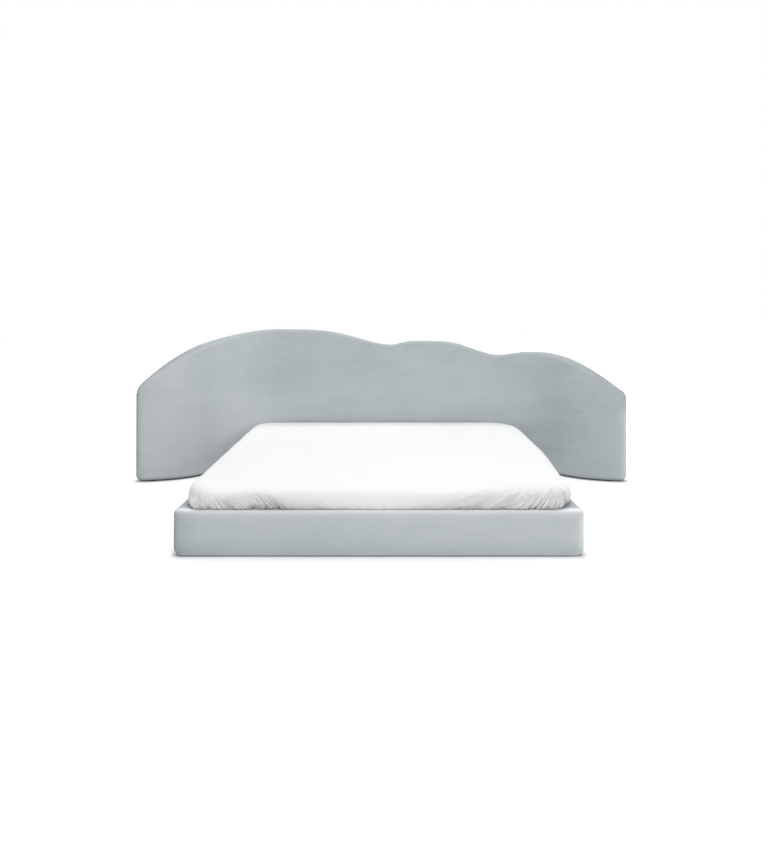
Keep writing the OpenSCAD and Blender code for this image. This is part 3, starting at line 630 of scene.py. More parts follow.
class Finish(Nodes):
    """A material built from nodes, with a Principled shader."""

    def __init__(self, name, roughness, **constants):
        self.material = bpy.data.materials.new(name)
        self.material.use_nodes = True
        super().__init__(self.material.node_tree)
        self.shader = self.tree.nodes["Principled BSDF"]
        for socket, value in {"Roughness": roughness, **constants}.items():
            self.link(value, self.shader.inputs[socket.replace("_", " ")])
        self.place = self.node("ShaderNodeTexCoord").outputs["Object"]

    def attribute(self, name, output="Fac"):
        return self.node("ShaderNodeAttribute", {"attribute_name": name}).outputs[output]

    def stretched(self, scale, at=None):
        return self.node("ShaderNodeMapping", Vector=at or self.place, Scale=scale).outputs[0]

    def noise(self, scale, detail=3.0, stretch=(1, 1, 1), roughness=0.5, distortion=0.0,
              at=None):
        made = self.node("ShaderNodeTexNoise", Vector=self.stretched(stretch, at), Scale=scale,
                         Detail=detail, Roughness=roughness, Distortion=distortion)
        return made.outputs["Fac"]

    def wave(self, scale, distortion, detail, direction="DIAGONAL", stretch=(1, 1, 1)):
        made = self.node("ShaderNodeTexWave", {"bands_direction": direction}, Scale=scale,
                         Vector=self.stretched(stretch), Distortion=distortion, Detail=detail)
        return made.outputs["Fac"]

    def lines(self, noise, narrow):
        """Thin lines, where the noise passes its middle."""
        off = self.math("ABSOLUTE", self.less(noise, 0.5))
        return self.math("MAXIMUM", self.less(1, self.times(off, narrow)))

    def ramp(self, factor, *stops):
        """Colours along a factor, each stop a place and a colour."""
        made = self.node("ShaderNodeValToRGB", Fac=factor)
        marks = made.color_ramp.elements
        while len(marks) < len(stops):
            marks.new(0.5)
        for mark, (place, rgb) in zip(marks, stops):
            mark.position, mark.color = place, (*rgb, 1)
        return made.outputs["Color"]

    def tones(self, factor, low, high):
        """One colour where a pattern is low, another where it is high."""
        return self.ramp(factor, (0.3, low), (0.7, high))

    def mix(self, factor, a, b, blend="MIX"):
        made = self.node("ShaderNodeMix", {"data_type": "RGBA", "blend_type": blend})
        for index, value in ((0, factor), (6, a), (7, b)):
            self.link((*value, 1) if isinstance(value, tuple) else value, made.inputs[index])
        return made.outputs[2]

    def colour(self, value):
        self.link(value, self.shader.inputs["Base Color"])

    def roughness(self, factor, low, high):
        made = self.node("ShaderNodeMapRange", Value=factor, To_Min=low, To_Max=high)
        self.link(made.outputs["Result"], self.shader.inputs["Roughness"])

    def bump(self, height, strength, distance, under=None):
        made = self.node("ShaderNodeBump", Height=height, Strength=strength, Distance=distance)
        if under:
            self.link(under, made.inputs["Normal"])
        self.link(made.outputs["Normal"], self.shader.inputs["Normal"])
        return made.outputs["Normal"]


def darker(rgb, amount):
    return tuple(c * amount for c in rgb)


def velvet(look):
    """Short-pile velvet, mottled where the nap has been brushed one way or the other, with
    painted highlight and painted shade mixed in from each vertex's painted light.
    """
    made = Finish("brushed_velvet", 0.92, Sheen_Weight=look.sheen, Sheen_Roughness=0.38,
                  Specular_IOR_Level=0.12, Sheen_Tint=(0.86, 0.93, 0.97, 1))
    brushed = made.noise(2.1, 4, (1, 1, 2.6), 0.62, 0.35)
    streaks = made.noise(8, 5, (0.6, 0.6, 3.4), 0.6)
    flecks = made.noise(210, 3, (0.6, 0.6, 1.3), 0.7)
    lean = made.plus(made.times(brushed, 0.72), made.times(streaks, 0.28))
    nap_and_painted_light = made.ramp(lean, (0.34, look.dark), (0.50, look.mid), (0.66, look.light))
    cloth = made.mix(0.75, nap_and_painted_light, made.tones(flecks, (0.86, 0.87, 0.88), (1, 1, 1)), "MULTIPLY")
    # Painted highlight, a pale grey, where the vertices' painted light is above 0, and painted
    # shade, a near black, where it is below
    painted_light_value = made.attribute("nap_and_painted_light")
    painted_highlight_mix = made.times(made.math("MAXIMUM", painted_light_value), look.painted_highlight)
    painted_shade_mix = made.times(made.math("MINIMUM", painted_light_value), -look.painted_shade)
    cloth = made.mix(painted_highlight_mix, cloth, (0.88, 0.90, 0.91))
    made.colour(made.mix(painted_shade_mix, cloth, (0.05, 0.07, 0.08)))
    pile = made.noise(1500, 2, roughness=0.7)
    crush = made.noise(38, 3, (0.7, 0.7, 2.2), 0.6)
    made.bump(pile, 0.35, 0.0005, made.bump(crush, 0.20, 0.0015))
    return made.material


def cotton(look):
    """White cotton percale with a fine thread, creased where it is pulled and tucks in, with
    painted shade in its creases and where it meets the rail.
    """
    made = Finish("sheet_cotton", 0.88, Sheen_Weight=0.12, Sheen_Roughness=0.5,
                  Specular_IOR_Level=0.2)
    fold, pull = made.attribute("fold", "Vector"), made.attribute("pull")

    def drawn(scale, narrow):
        return made.lines(made.noise(scale, 3, roughness=0.6, at=fold), narrow)

    cloth = made.tones(made.noise(3.2), darker(look.white, 0.975), look.white)
    some = made.times(pull, made.times(made.noise(15, 1, at=fold), 2))
    few = made.math("MINIMUM", made.times(pull, 1.1), 0.45)
    gathers = made.times(made.times(few, drawn(78, 9)), 0.65)
    sunk = made.plus(made.times(some, drawn(40, 15)), gathers)
    swell = made.times(some, made.less(made.noise(42, 2, at=fold), 0.3))
    # Painted shade: the creases' bottoms, the notches and the line where the sheet meets the rail
    # darken the cotton towards grey
    deep = made.times(made.attribute("tucked"), 0.60)
    dark = made.plus(made.times(sunk, look.shade), deep)
    made.colour(made.mix(dark, cloth, (0.30, 0.30, 0.31)))
    warp, weft = (made.wave(620, 0.6, 1, axis) for axis in "XY")
    thread = made.plus(made.math("MAXIMUM", warp, weft), made.noise(160, 2, (1, 1, 0.4), 0.6))
    made.bump(thread, 0.10, 0.0003, made.bump(made.less(swell, sunk), 1.0, 0.0075))
    return made.material


def ticking():
    """Closely woven mattress cloth, off-white with a faint twill."""
    made = Finish("mattress_ticking", 0.86, Specular_IOR_Level=0.25)
    twill = made.wave(260, 1.2, 2)
    cloth = made.tones(made.noise(5), (0.78, 0.76, 0.71), (0.85, 0.84, 0.80))
    made.colour(made.mix(0.25, cloth, made.ramp(
        twill, (0.35, (0.66, 0.65, 0.62)), (0.65, (0.88, 0.87, 0.84)))))
    made.bump(twill, 0.25, 0.0004)
    return made.material


def ribbed(name, roughness, shine, ribs, tones, bump):
    """Tape, thread or elastic, by the scale and the unevenness of its ribs, the tones between
    and on them, and the strength and the depth of its bump."""
    made = Finish(name, roughness, Specular_IOR_Level=shine)
    rib = made.wave(*ribs, detail=1)
    made.colour(made.tones(rib, *tones))
    made.bump(rib, *bump)
    return made.material


def edge_tape():
    """Woven edge tape round the mattress."""
    tones = (0.50, 0.52, 0.54), (0.62, 0.64, 0.66)
    return ribbed("edge_tape", 0.8, 0.3, (420, 0.4), tones, (0.4, 0.0005))


def waxed_thread():
    """Waxed upholstery thread."""
    tones = (0.30, 0.35, 0.37), (0.46, 0.51, 0.53)
    return ribbed("thread", 0.7, 0.3, (900, 0.5), tones, (0.4, 0.0002))


def elastic():
    """Ribbed white elastic."""
    tones = (0.70, 0.70, 0.71), (0.86, 0.86, 0.87)
    return ribbed("elastic", 0.8, 0.2, (300, 0.4), tones, (0.5, 0.0005))


def timber(name, light, dark, along, scale=1.0, roughness=0.58):
    """Planed wood with its grain along one axis."""
    stretch = tuple(0.045 if axis == along else 1.0 for axis in "XYZ")
    made = Finish(name, roughness, Specular_IOR_Level=0.35)
    rings = made.wave(26 * scale, 7.5, 3, "Z" if along != "Z" else "X", stretch)
    fibre = made.noise(420 * scale, 3, stretch, 0.65)
    patch = made.noise(6, 3, tuple(0.3 if axis == along else 1.0 for axis in "XYZ"))
    grain = made.ramp(rings, (0.05, dark), (0.45, light), (0.95, light))
    grain = made.mix(0.35, grain, made.tones(patch, darker(light, 0.86), light))
    made.colour(made.mix(0.5, grain, made.ramp(
        fibre, (0.35, (0.72, 0.66, 0.58)), (0.65, (1, 1, 1))), "MULTIPLY"))
    made.roughness(fibre, roughness - 0.08, roughness + 0.10)
    made.bump(fibre, 0.22, 0.0004)
    return made.material


def plywood(name, across):
    """Birch plywood, its plies showing as lines on the edges across its thickness."""
    made = Finish(name, 0.62, Specular_IOR_Level=0.3)
    plies = made.wave(110, 0.3, 1, across)
    face = made.noise(30, 4, (0.25, 1, 0.25), 0.6)
    veneer = made.tones(face, (0.62, 0.47, 0.30), (0.74, 0.60, 0.41))
    layers = made.ramp(plies, (0.42, (0.44, 0.30, 0.17)), (0.58, (0.72, 0.57, 0.38)))
    made.colour(made.mix(0.45, veneer, layers))
    made.bump(face, 0.2, 0.0005)
    return made.material


def zinc(name="zinc", tone=0.52):
    """Zinc-plated steel, faintly mottled and brushed."""
    made = Finish(name, 0.36, Metallic=1.0)
    spangle = made.noise(140, 3, roughness=0.6)
    made.colour(made.tones(spangle, (tone * 0.90, tone * 0.92, tone * 0.95),
                           (tone * 1.12, tone * 1.13, tone * 1.14)))
    made.roughness(spangle, 0.28, 0.46)
    made.bump(made.noise(700, 2, (0.15, 1, 1), 0.6), 0.12, 0.0002)
    return made.material


def black_plastic():
    """Moulded black plastic with a fine spark-eroded grain."""
    made = Finish("black_plastic", 0.5, Specular_IOR_Level=0.45)
    grain = made.noise(1300, 2, roughness=0.6)
    made.colour(made.tones(made.noise(24, 2), (0.022, 0.022, 0.024), (0.036, 0.036, 0.038)))
    made.roughness(grain, 0.42, 0.62)
    made.bump(grain, 0.3, 0.0003)
    return made.material


def finish(name, make, *given):
    """The material of that name, made the first time that it is asked for."""
    return bpy.data.materials.get(name) or make(*given)


def velvet_piece(name, points, faces, replaced, nap_and_painted_light=None):
    """Velvet over a padded part of the bed frame, in place of its plain nodes. The painted light
    at each vertex mixes a painted highlight into it above 0 and painted shade below."""
    look = bpy.context.scene.velvet_look
    piece = new_piece(name, points, faces, "bed_frame", "velvet",
                      finish("brushed_velvet", velvet, look))
    if nap_and_painted_light is not None:
        keep(piece.data, "nap_and_painted_light", nap_and_painted_light)
    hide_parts(*replaced)


# Things that repeat

class Tree(Nodes):
    """A geometry node tree with named inputs."""

    def __init__(self, name, **inputs):
        super().__init__(bpy.data.node_groups.new(name, "GeometryNodeTree"))
        face = self.tree.interface
        for way in ("INPUT", "OUTPUT"):
            face.new_socket("Geometry", in_out=way, socket_type="NodeSocketGeometry")
        self.values = {}
        for label, value in inputs.items():
            kind = "NodeSocketMaterial" if label == "Finish" else "NodeSocketFloat"
            socket = face.new_socket(label, in_out="INPUT", socket_type=kind)
            socket.default_value = value
            self.values[socket.identifier] = value
        self.given = self.node("NodeGroupInput").outputs
        self.end = self.node("NodeGroupOutput")

    def gather(self, socket, *made):
        for node in made:
            self.link(node.outputs[0], socket)

    def vector(self, x=0.0, y=0.0, z=0.0):
        return self.node("ShaderNodeCombineXYZ", X=x, Y=y, Z=z).outputs[0]

    def moved(self, shape, **change):
        return self.node("GeometryNodeTransform", Geometry=shape.outputs[0], **change)

    def finish(self, points, shape, facing):
        """Puts the shape at each point, its Z the way the point faces, as a plain mesh."""
        turn = self.node("FunctionNodeAlignRotationToVector", {"axis": "Z"},
                         Vector=facing.outputs[0])
        placed = self.node("GeometryNodeInstanceOnPoints", Points=points.outputs[0],
                           Instance=shape.outputs[0], Rotation=turn.outputs[0])
        real = self.node("GeometryNodeRealizeInstances", Geometry=placed.outputs[0])
        done = self.node("GeometryNodeSetMaterial", Geometry=real.outputs[0],
                         Material=self.given["Finish"])
        self.gather(self.end.inputs[0], done)

    def apply(self, name, points, edges, body, slot, directions=None):
        """Runs the tree over points or a line, and keeps the result as a plain mesh."""
        mesh = bpy.data.meshes.new(name + "_guide")
        mesh.from_pydata([tuple(p) for p in points], edges, [])
        if directions is not None:
            keep(mesh, "facing", directions)
        guide = add(name + "_guide", mesh)
        modifier = guide.modifiers.new("Nodes", "NODES")
        modifier.node_group = self.tree
        for identifier, value in self.values.items():
            modifier[identifier] = value
        graph = bpy.context.evaluated_depsgraph_get()
        made = bpy.data.meshes.new_from_object(guide.evaluated_get(graph))
        made.name = name
        guide.modifiers.remove(modifier)
        bpy.data.objects.remove(guide)
        made.set_sharp_from_angle(angle=math.radians(40))
        piece = add(name, made)
        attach(piece, body)


def stitch_tree(name, pitch, stitch, radius, material):
    """Short stitches laid end to end along a line."""
    tree = Tree(name, Pitch=pitch, Stitch=stitch, Radius=radius, Finish=material)
    size, run = tree.given["Radius"], tree.given["Stitch"]
    curve = tree.node("GeometryNodeMeshToCurve", Mesh=tree.given["Geometry"])
    even = tree.node("GeometryNodeResampleCurve", {"mode": "LENGTH"}, Curve=curve.outputs[0],
                     Length=tree.given["Pitch"])
    body = tree.node("GeometryNodeMeshCylinder", Vertices=6, Radius=size, Depth=run)
    ball = tree.node("GeometryNodeMeshUVSphere", Segments=6, Rings=4,
                     Radius=tree.times(size, 1.05))
    ends = [tree.moved(ball, Translation=tree.vector(z=tree.times(run, way)))
            for way in (-0.5, 0.5)]
    joined = tree.node("GeometryNodeJoinGeometry")
    tree.gather(joined.inputs[0], body, *ends)
    tree.finish(even, joined, tree.node("GeometryNodeInputTangent"))
    return tree


def screw_tree(name, radius, height, material):
    """Pan-head screws with a cross recess, one at each point, facing the way it says."""
    tree = Tree(name, Radius=radius, Height=height, Finish=material)
    size, rise = tree.given["Radius"], tree.given["Height"]
    dome = tree.node("GeometryNodeMeshUVSphere", Segments=20, Rings=10, Radius=size)
    flat = tree.vector(1.0, 1.0, tree.math("DIVIDE", rise, size))
    slots = []
    for across, along in ((1.15, 0.22), (0.22, 1.15)):
        bar = tree.vector(tree.times(size, across), tree.times(size, along),
                          tree.times(rise, 1.2))
        cube = tree.node("GeometryNodeMeshCube", Size=bar)
        slots.append(tree.moved(cube, Translation=tree.vector(z=rise)))
    cut = tree.node("GeometryNodeMeshBoolean", {"operation": "DIFFERENCE", "solver": "EXACT"})
    tree.gather(cut.inputs[0], tree.moved(dome, Scale=flat))
    tree.gather(cut.inputs["Mesh 2"], *slots)
    points = tree.node("GeometryNodeMeshToPoints", Mesh=tree.given["Geometry"])
    tree.finish(points, cut, tree.node(
        "GeometryNodeInputNamedAttribute", {"data_type": "FLOAT_VECTOR"}, Name="facing"))
    return tree


# Pieces

class BED_OT_headboard(Operator):
    """Velvet over the headboard's padding: bent face, padded edges and a fold onto the back"""
    bl_idname = "bed.headboard"
    bl_label = "Headboard velvet"
    pitch, rows = 0.0105, 72
    # How full the velvet is over the edge, and how far round it the face's slow waves reach
    fullness, wave_reach = 0.0014, 0.03
    # How thick the fold on the back is, how far in the wooden skins' edges lie, and how deep
    # the front one lies
    fold_t, skin_inset, skin_depth = 0.002, 0.0143, 0.0306

    def nap_and_painted_light(self, size, form, points, depth):
        """Painted light in the velvet's colour: painted shade over the edge and on the left
        wing's end, a painted highlight on the right wing's end, and painted light on the left
        wing and low down in both bends, where shade falls.
        """
        x, _, z = points.T
        end = size.board_end_x
        ahead = 1 - smooth((depth - 0.006) / 0.018)
        # Painted shade over the edge, most on the wings, and less again further back
        over = part(depth, 0, 0.013) ** 0.8
        over *= 1 + 0.9 * part(np.abs(x), 0.9, 0.4)
        over *= 1 - 0.8 * smooth((depth - 0.026) / 0.030)
        # A painted highlight on the right wing's end, and painted shade on the left one's
        lit = ahead * near(end - x, 0.018) * part(form.end_heights[1] - z, 0.05, 0.09)
        shaded = 3.5 * near(x + end, 0.017)
        # Painted light on the left wing, least high up on its inside, and low down in both bends,
        # where shade falls
        low, high = smooth((0.46 - z) / 0.24), smooth((z - 0.42) / 0.25)
        wing = 0.7 * part(-x, 0.70, 0.25) * (1 - 0.6 * high * smooth((x + 1.30) / 0.15))
        left = 1.15 * smooth((x + 1.32) / 0.34) * near(x + 0.80, 0.15)
        right = 0.6 * near(np.abs(x - 1.08) - 0.05, 0.07)
        return ahead * (wing + low * (left + right) - shaded) + 2.8 * lit - over * (1 - lit)

    def execute(self, context):
        size, look = context.scene.bed_sizes, context.scene.velvet_look
        form = Headboard(size)
        panel = PaddedPanel(form, form.top_corner_r[0], form.foot_corner_r, self.pitch,
                            self.rows)
        t, fold = size.board_t, size.cover_return
        rings = wrapped(size.edge_r, size.back_edge_r, t, self.fullness, side_rings=5,
                        back_steps=5)
        # The velvet folds onto the back, turns under and ends on the front skin
        rings += [(fold * 0.7, t + 0.0004), (fold, t), (fold, t - self.fold_t),
                  (self.skin_inset, t - self.fold_t), (self.skin_inset, self.skin_depth)]

        def uneven(d):
            depth = look.softness * max(0, 1 - d / self.wave_reach)
            return lambda s, z: depth * face_waves(s, z, 2.6, 3, (1, 1, 1.5))

        points, faces = panel.build(rings, uneven)
        depth = np.repeat([d for _, d in rings], len(panel.ring(0, 0)))
        depth = np.append(depth, np.zeros(len(points) - len(depth)))
        velvet_piece("headboard_velvet", points, faces,
                     ("headboard_front_cover", "headboard_pad", "headboard_rim_pad"),
                     self.nap_and_painted_light(size, form, points, depth))
        return {"FINISHED"}


class BED_OT_headboard_back(Operator):
    """The back panel, its edge turned under and sewn to the fold of the front"""
    bl_idname = "bed.headboard_back"
    bl_label = "Headboard back"
    pitch, rows = 0.016, 48
    # Room between it and the fold of the front, and how thick its turned edge is
    gap, edge_t = 0.0003, 0.002

    def execute(self, context):
        size = context.scene.bed_sizes
        form = Headboard(size)
        panel = PaddedPanel(form, form.top_corner_r[0], form.foot_corner_r, self.pitch,
                            self.rows)
        edge, t = size.cover_return + self.gap, size.board_t
        under = t - self.edge_t
        # From inside its turned edge, round the edge and a little full onto its face
        rings = [(edge + 0.02, under), (edge, under), (edge, t - 0.0006), (edge + 0.0008, t),
                 (edge + 0.0035, t + 0.0008), (edge + 0.012, t + 0.0010)]
        points, faces = panel.build(rings, both_filled=True)
        velvet_piece("headboard_back_velvet", points, faces, ("headboard_back_cover",))
        seam_and_contact_shade = panel.ring(edge - 0.0002, t + 0.0004)
        edges = [(i, (i + 1) % len(seam_and_contact_shade)) for i in range(len(seam_and_contact_shade))]
        stitches = stitch_tree("slip_stitches", pitch=0.011, stitch=0.0062, radius=0.00055,
                               material=finish("thread", waxed_thread))
        stitches.apply("headboard_stitches", seam_and_contact_shade, edges, "bed_frame", "velvet")
        return {"FINISHED"}


class BED_OT_foot_rail(Operator):
    """Velvet over the foot rail's padding"""
    bl_idname = "bed.foot_rail"
    bl_label = "Foot rail velvet"
    pitch, rows = 0.012, 18
    # How full the velvet is over the edge, how far its face swells in the middle, how deep its
    # slow waves are, and how far both reach round the edge
    fullness, belly, wave_depth, wave_reach = 0.0010, 0.0010, 0.0006, 0.03
    # Its edge at the back, and how far the velvet folds onto the back
    back_edge_r, fold = 0.006, 0.018

    def nap_and_painted_light(self, size, points):
        """Painted light in the velvet's colour: painted highlights along the top, the low edge
        and the right end, painted shade low down, on the left end and on the top near it, and a
        little painted light all over.
        """
        x, y, z = points.T
        down, up = size.rail_top - z, z - size.floor_gap
        from_left, from_right = FOOT_HIGH.x + x, FOOT_HIGH.x - x
        front = 1 - part(y, FOOT_LOW.y + 0.012, 0.03)
        ahead = 1 - smooth((y - FOOT_LOW.y - 0.008) / 0.016)
        # Painted highlight along the top, a painted highlight on the low edge with painted shade
        # above it, a painted highlight on the right end, and painted shade on the left end and on
        # the top behind the front near it
        top = 3.9 * near(down, 0.0095) + 0.3 * near(down, 0.020)
        foot = 0.6 * near(up, 0.003) - 0.5 * part(0.07 - z, 0, 0.06)
        right = 2.6 * near(from_right, 0.016) * smooth(down / 0.05)
        left = 2.3 * near(from_left, 0.045) + 0.8 * near(from_left, 0.006)
        shaded = 1.6 * near(from_left, 0.12) * (1 - front) * near(down, 0.012)
        # 0.36 is painted light over the whole rail
        return 0.36 + front * (top + foot) + ahead * (right - left) - shaded

    def execute(self, context):
        size = context.scene.bed_sizes
        height = size.rail_top - size.floor_gap
        end = FootRail.low_corner_r + 0.004
        panel = PaddedPanel(FootRail(size), end, end, self.pitch, self.rows)
        rings = wrapped(size.rail_corner_r, self.back_edge_r, size.rail_t, self.fullness,
                        side_rings=4, back_steps=4)
        rings.append((self.fold, size.rail_t))

        def uneven(d):
            fade = max(0, 1 - d / self.wave_reach)
            return lambda s, z: fade * (
                self.belly * np.sin(part(z, size.floor_gap, height) * math.pi)
                + self.wave_depth * face_waves(s, z, 3.5, 5))

        points, faces = panel.build(rings, uneven, both_filled=True)
        velvet_piece("foot_rail_velvet", points, faces, ("foot_rail_cover", "foot_rail_pad"),
                     self.nap_and_painted_light(size, points))
        return {"FINISHED"}


class BED_OT_side_rails(Operator):
    """Velvet over the side rails' padding, cut to the headboard's bend at the head"""
    bl_idname = "bed.side_rails"
    bl_label = "Side rail velvet"
    # Cells up a side and across the top, steps round each corner, and places along the rail
    face_cells, corner_steps, places = (16, 7), 7, 150
    # How full its faces are, how deep their slow waves are, and how round its end is
    fullness, wave_depth, end_r = 0.0009, 0.0005, 0.005
    # Room left at the foot rail and at the headboard
    foot_gap, head_gap = 0.0003, 0.001

    def outline(self, size, inset=0.0):
        """The right rail's outline in X and Z, anticlockwise from its low outer corner."""
        r = size.rail_edge_r
        inner, outer = FOOT_HIGH.x - size.rail_t + r, FOOT_HIGH.x - r
        low, high = size.floor_gap + r, size.rail_top - r
        corners = [(outer, low, r - inset, -90), (outer, high, r - inset, 0),
                   (inner, high, r - inset, 90), (inner, low, r - inset, 180)]
        points, facing, shares = rounded(corners, self.face_cells * 2, self.corner_steps)
        return points + facing * self.fullness * np.sin(shares * math.pi)[:, None]

    def lengthwise(self, size):
        """The right rail's loops, from its round end at the foot to the headboard's bend."""
        front, r = FOOT_LOW.y + size.rail_t + self.foot_gap, self.end_r
        loops = []
        for a in np.linspace(0, math.pi / 2, 4):
            x, z = self.outline(size, r * (1 - math.sin(a))).T
            loops.append(np.stack([x, 0 * x + front + r * (1 - math.cos(a)), z], -1))
        x, z = self.outline(size).T
        turn = np.arcsin(part(x, size.flat_x, size.bend_r))
        back = Headboard(size).face_y - size.bend_r * (1 - np.cos(turn)) - self.head_gap
        for f in np.linspace(0, 1, self.places)[1:]:
            y = (front + r) * (1 - f) + back * f
            push = self.wave_depth * waves(np.stack([x, y, z], -1), 4, 9)
            loops.append(np.stack([x + push * math.sin(math.pi * f), y, z], -1))
        return loops

    def execute(self, context):
        size = context.scene.bed_sizes
        loops = self.lengthwise(size)
        for side, name in ((1, "right_rail"), (-1, "left_rail")):
            points, faces = tube(loops, flip=side < 0)
            points = points * (side, 1, 1)
            count = len(loops[0])
            ends = [list(range(count)), list(range(len(points) - count, len(points)))[::-1]]
            faces += ends if side > 0 else [face[::-1] for face in ends]
            # Painted highlight along the right rail's outer edge, painted shade along the left
            # one's and along the left rail's top
            nap_and_painted_light = side * 0.6 * near(FOOT_HIGH.x - np.abs(points[:, 0]), 0.012)
            if side < 0:
                nap_and_painted_light -= 1.6 * near(size.rail_top - points[:, 2], 0.012)
            velvet_piece(name + "_velvet", points, faces, (name + "_cover", name + "_pad"), nap_and_painted_light)
        return {"FINISHED"}


class BED_OT_mattress(Operator):
    """The mattress inside the sheet, with tape round its lower edge and a quilted base"""
    bl_idname = "bed.mattress"
    bl_label = "Mattress"
    # How far it stays inside its plan, and how much further, and lower, on its swollen side
    inside, swollen_in, swollen_down = 0.0025, 0.0085, 0.002
    # How far in the base's quilting starts, how wide its diamonds are and how deep they go
    quilt_in, diamond, quilt_depth = 0.06, 0.11, 0.006
    # How far the top stays below the sheet, and the tape's place, width and height
    top_gap, tape_in, tape_up, tape_w, tape_h = 0.0015, 0.0055, 0.0085, 0.0036, 0.0030

    def execute(self, context):
        size = context.scene.bed_sizes
        plan = MattressPlan(size, across=92, along=114, corner=8)
        loops = [level(plan.ring(-self.quilt_in)[0], MATTRESS_LOW.z)]
        for out, z in spaced(side_profile(size, steps=41), 0.009):
            swollen = part(z, size.rail_top, 0.02)
            grow = -self.inside - self.swollen_in * swollen
            loops.append(level(plan.ring(out, grow, plan.squared(z))[0],
                               z - self.swollen_down * swollen))
        points, faces = tube(loops, flip=True)
        base, top = plan.inside(loops[0]), plan.inside(loops[-1])
        u, v = (np.sin((base[:, 0] + way * base[:, 1]) * math.pi / self.diamond)
                for way in (1, -1))
        base[:, 2] += self.quilt_depth * (1 - np.abs(u * v) ** 0.5)
        top[:, 2] += crown_rise(size, top) - self.top_gap
        last, count = len(points) - len(loops[0]), len(points)
        faces += quads(plan.face(0, count))
        faces += quads(plan.face(last, count + len(base)), flip=True)
        points = np.concatenate([points, base, top])
        points[:, 2] = np.minimum(points[:, 2], MATTRESS_HIGH.z)
        piece = new_piece("mattress_ticking", points, faces, "mattress_body", "ticking",
                          finish("mattress_ticking", ticking))
        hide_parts("mattress")
        tape = edge_tube(plan, -self.tape_in, MATTRESS_LOW.z + self.tape_up, self.tape_w,
                         self.tape_h)
        new_piece("mattress_tape", *tape, "mattress_body", "ticking",
                  finish("edge_tape", edge_tape))
        return {"FINISHED"}


# Creases along the foot of the sheet: place across in metres, how far they lean to the right as
# they rise, how high they reach and how deep they are
FOOT_FOLDS = (
    (-0.88, 0.30, 0.110, 1.2), (-0.81, 0.50, 0.120, 1.3), (-0.75, -0.30, 0.070, 1.0),
    (-0.66, -0.80, 0.080, 1.1), (-0.56, -0.90, 0.095, 1.7), (-0.49, -0.65, 0.100, 2.6),
    (-0.43, -0.90, 0.090, 2.2), (-0.36, -1.40, 0.085, 0.6), (-0.20, -1.60, 0.090, 0.4),
    (-0.04, -0.60, 0.060, 0.3), (0.10, 1.60, 0.080, 0.3), (0.24, 2.40, 0.120, 0.5),
    (0.38, 1.80, 0.140, 0.7), (0.54, 1.10, 0.150, 1.0), (0.67, 0.80, 0.135, 1.5),
    (0.78, 0.50, 0.120, 1.6), (0.88, 0.10, 0.110, 1.4),
)
# The same along a side, by distance from the foot: how far they lean to the head as they rise
SIDE_FOLDS = (
    (-0.06, -0.30, 0.080, 1.1), (0.08, 0.40, 0.110, 1.2), (0.25, 1.30, 0.125, 0.8),
    (0.60, 1.90, 0.110, 0.5), (1.00, 0.20, 0.060, 0.3), (1.40, -1.90, 0.110, 0.5),
    (1.75, -1.20, 0.125, 0.8), (1.95, -0.30, 0.100, 1.0), (2.06, 0.30, 0.080, 1.0),
)


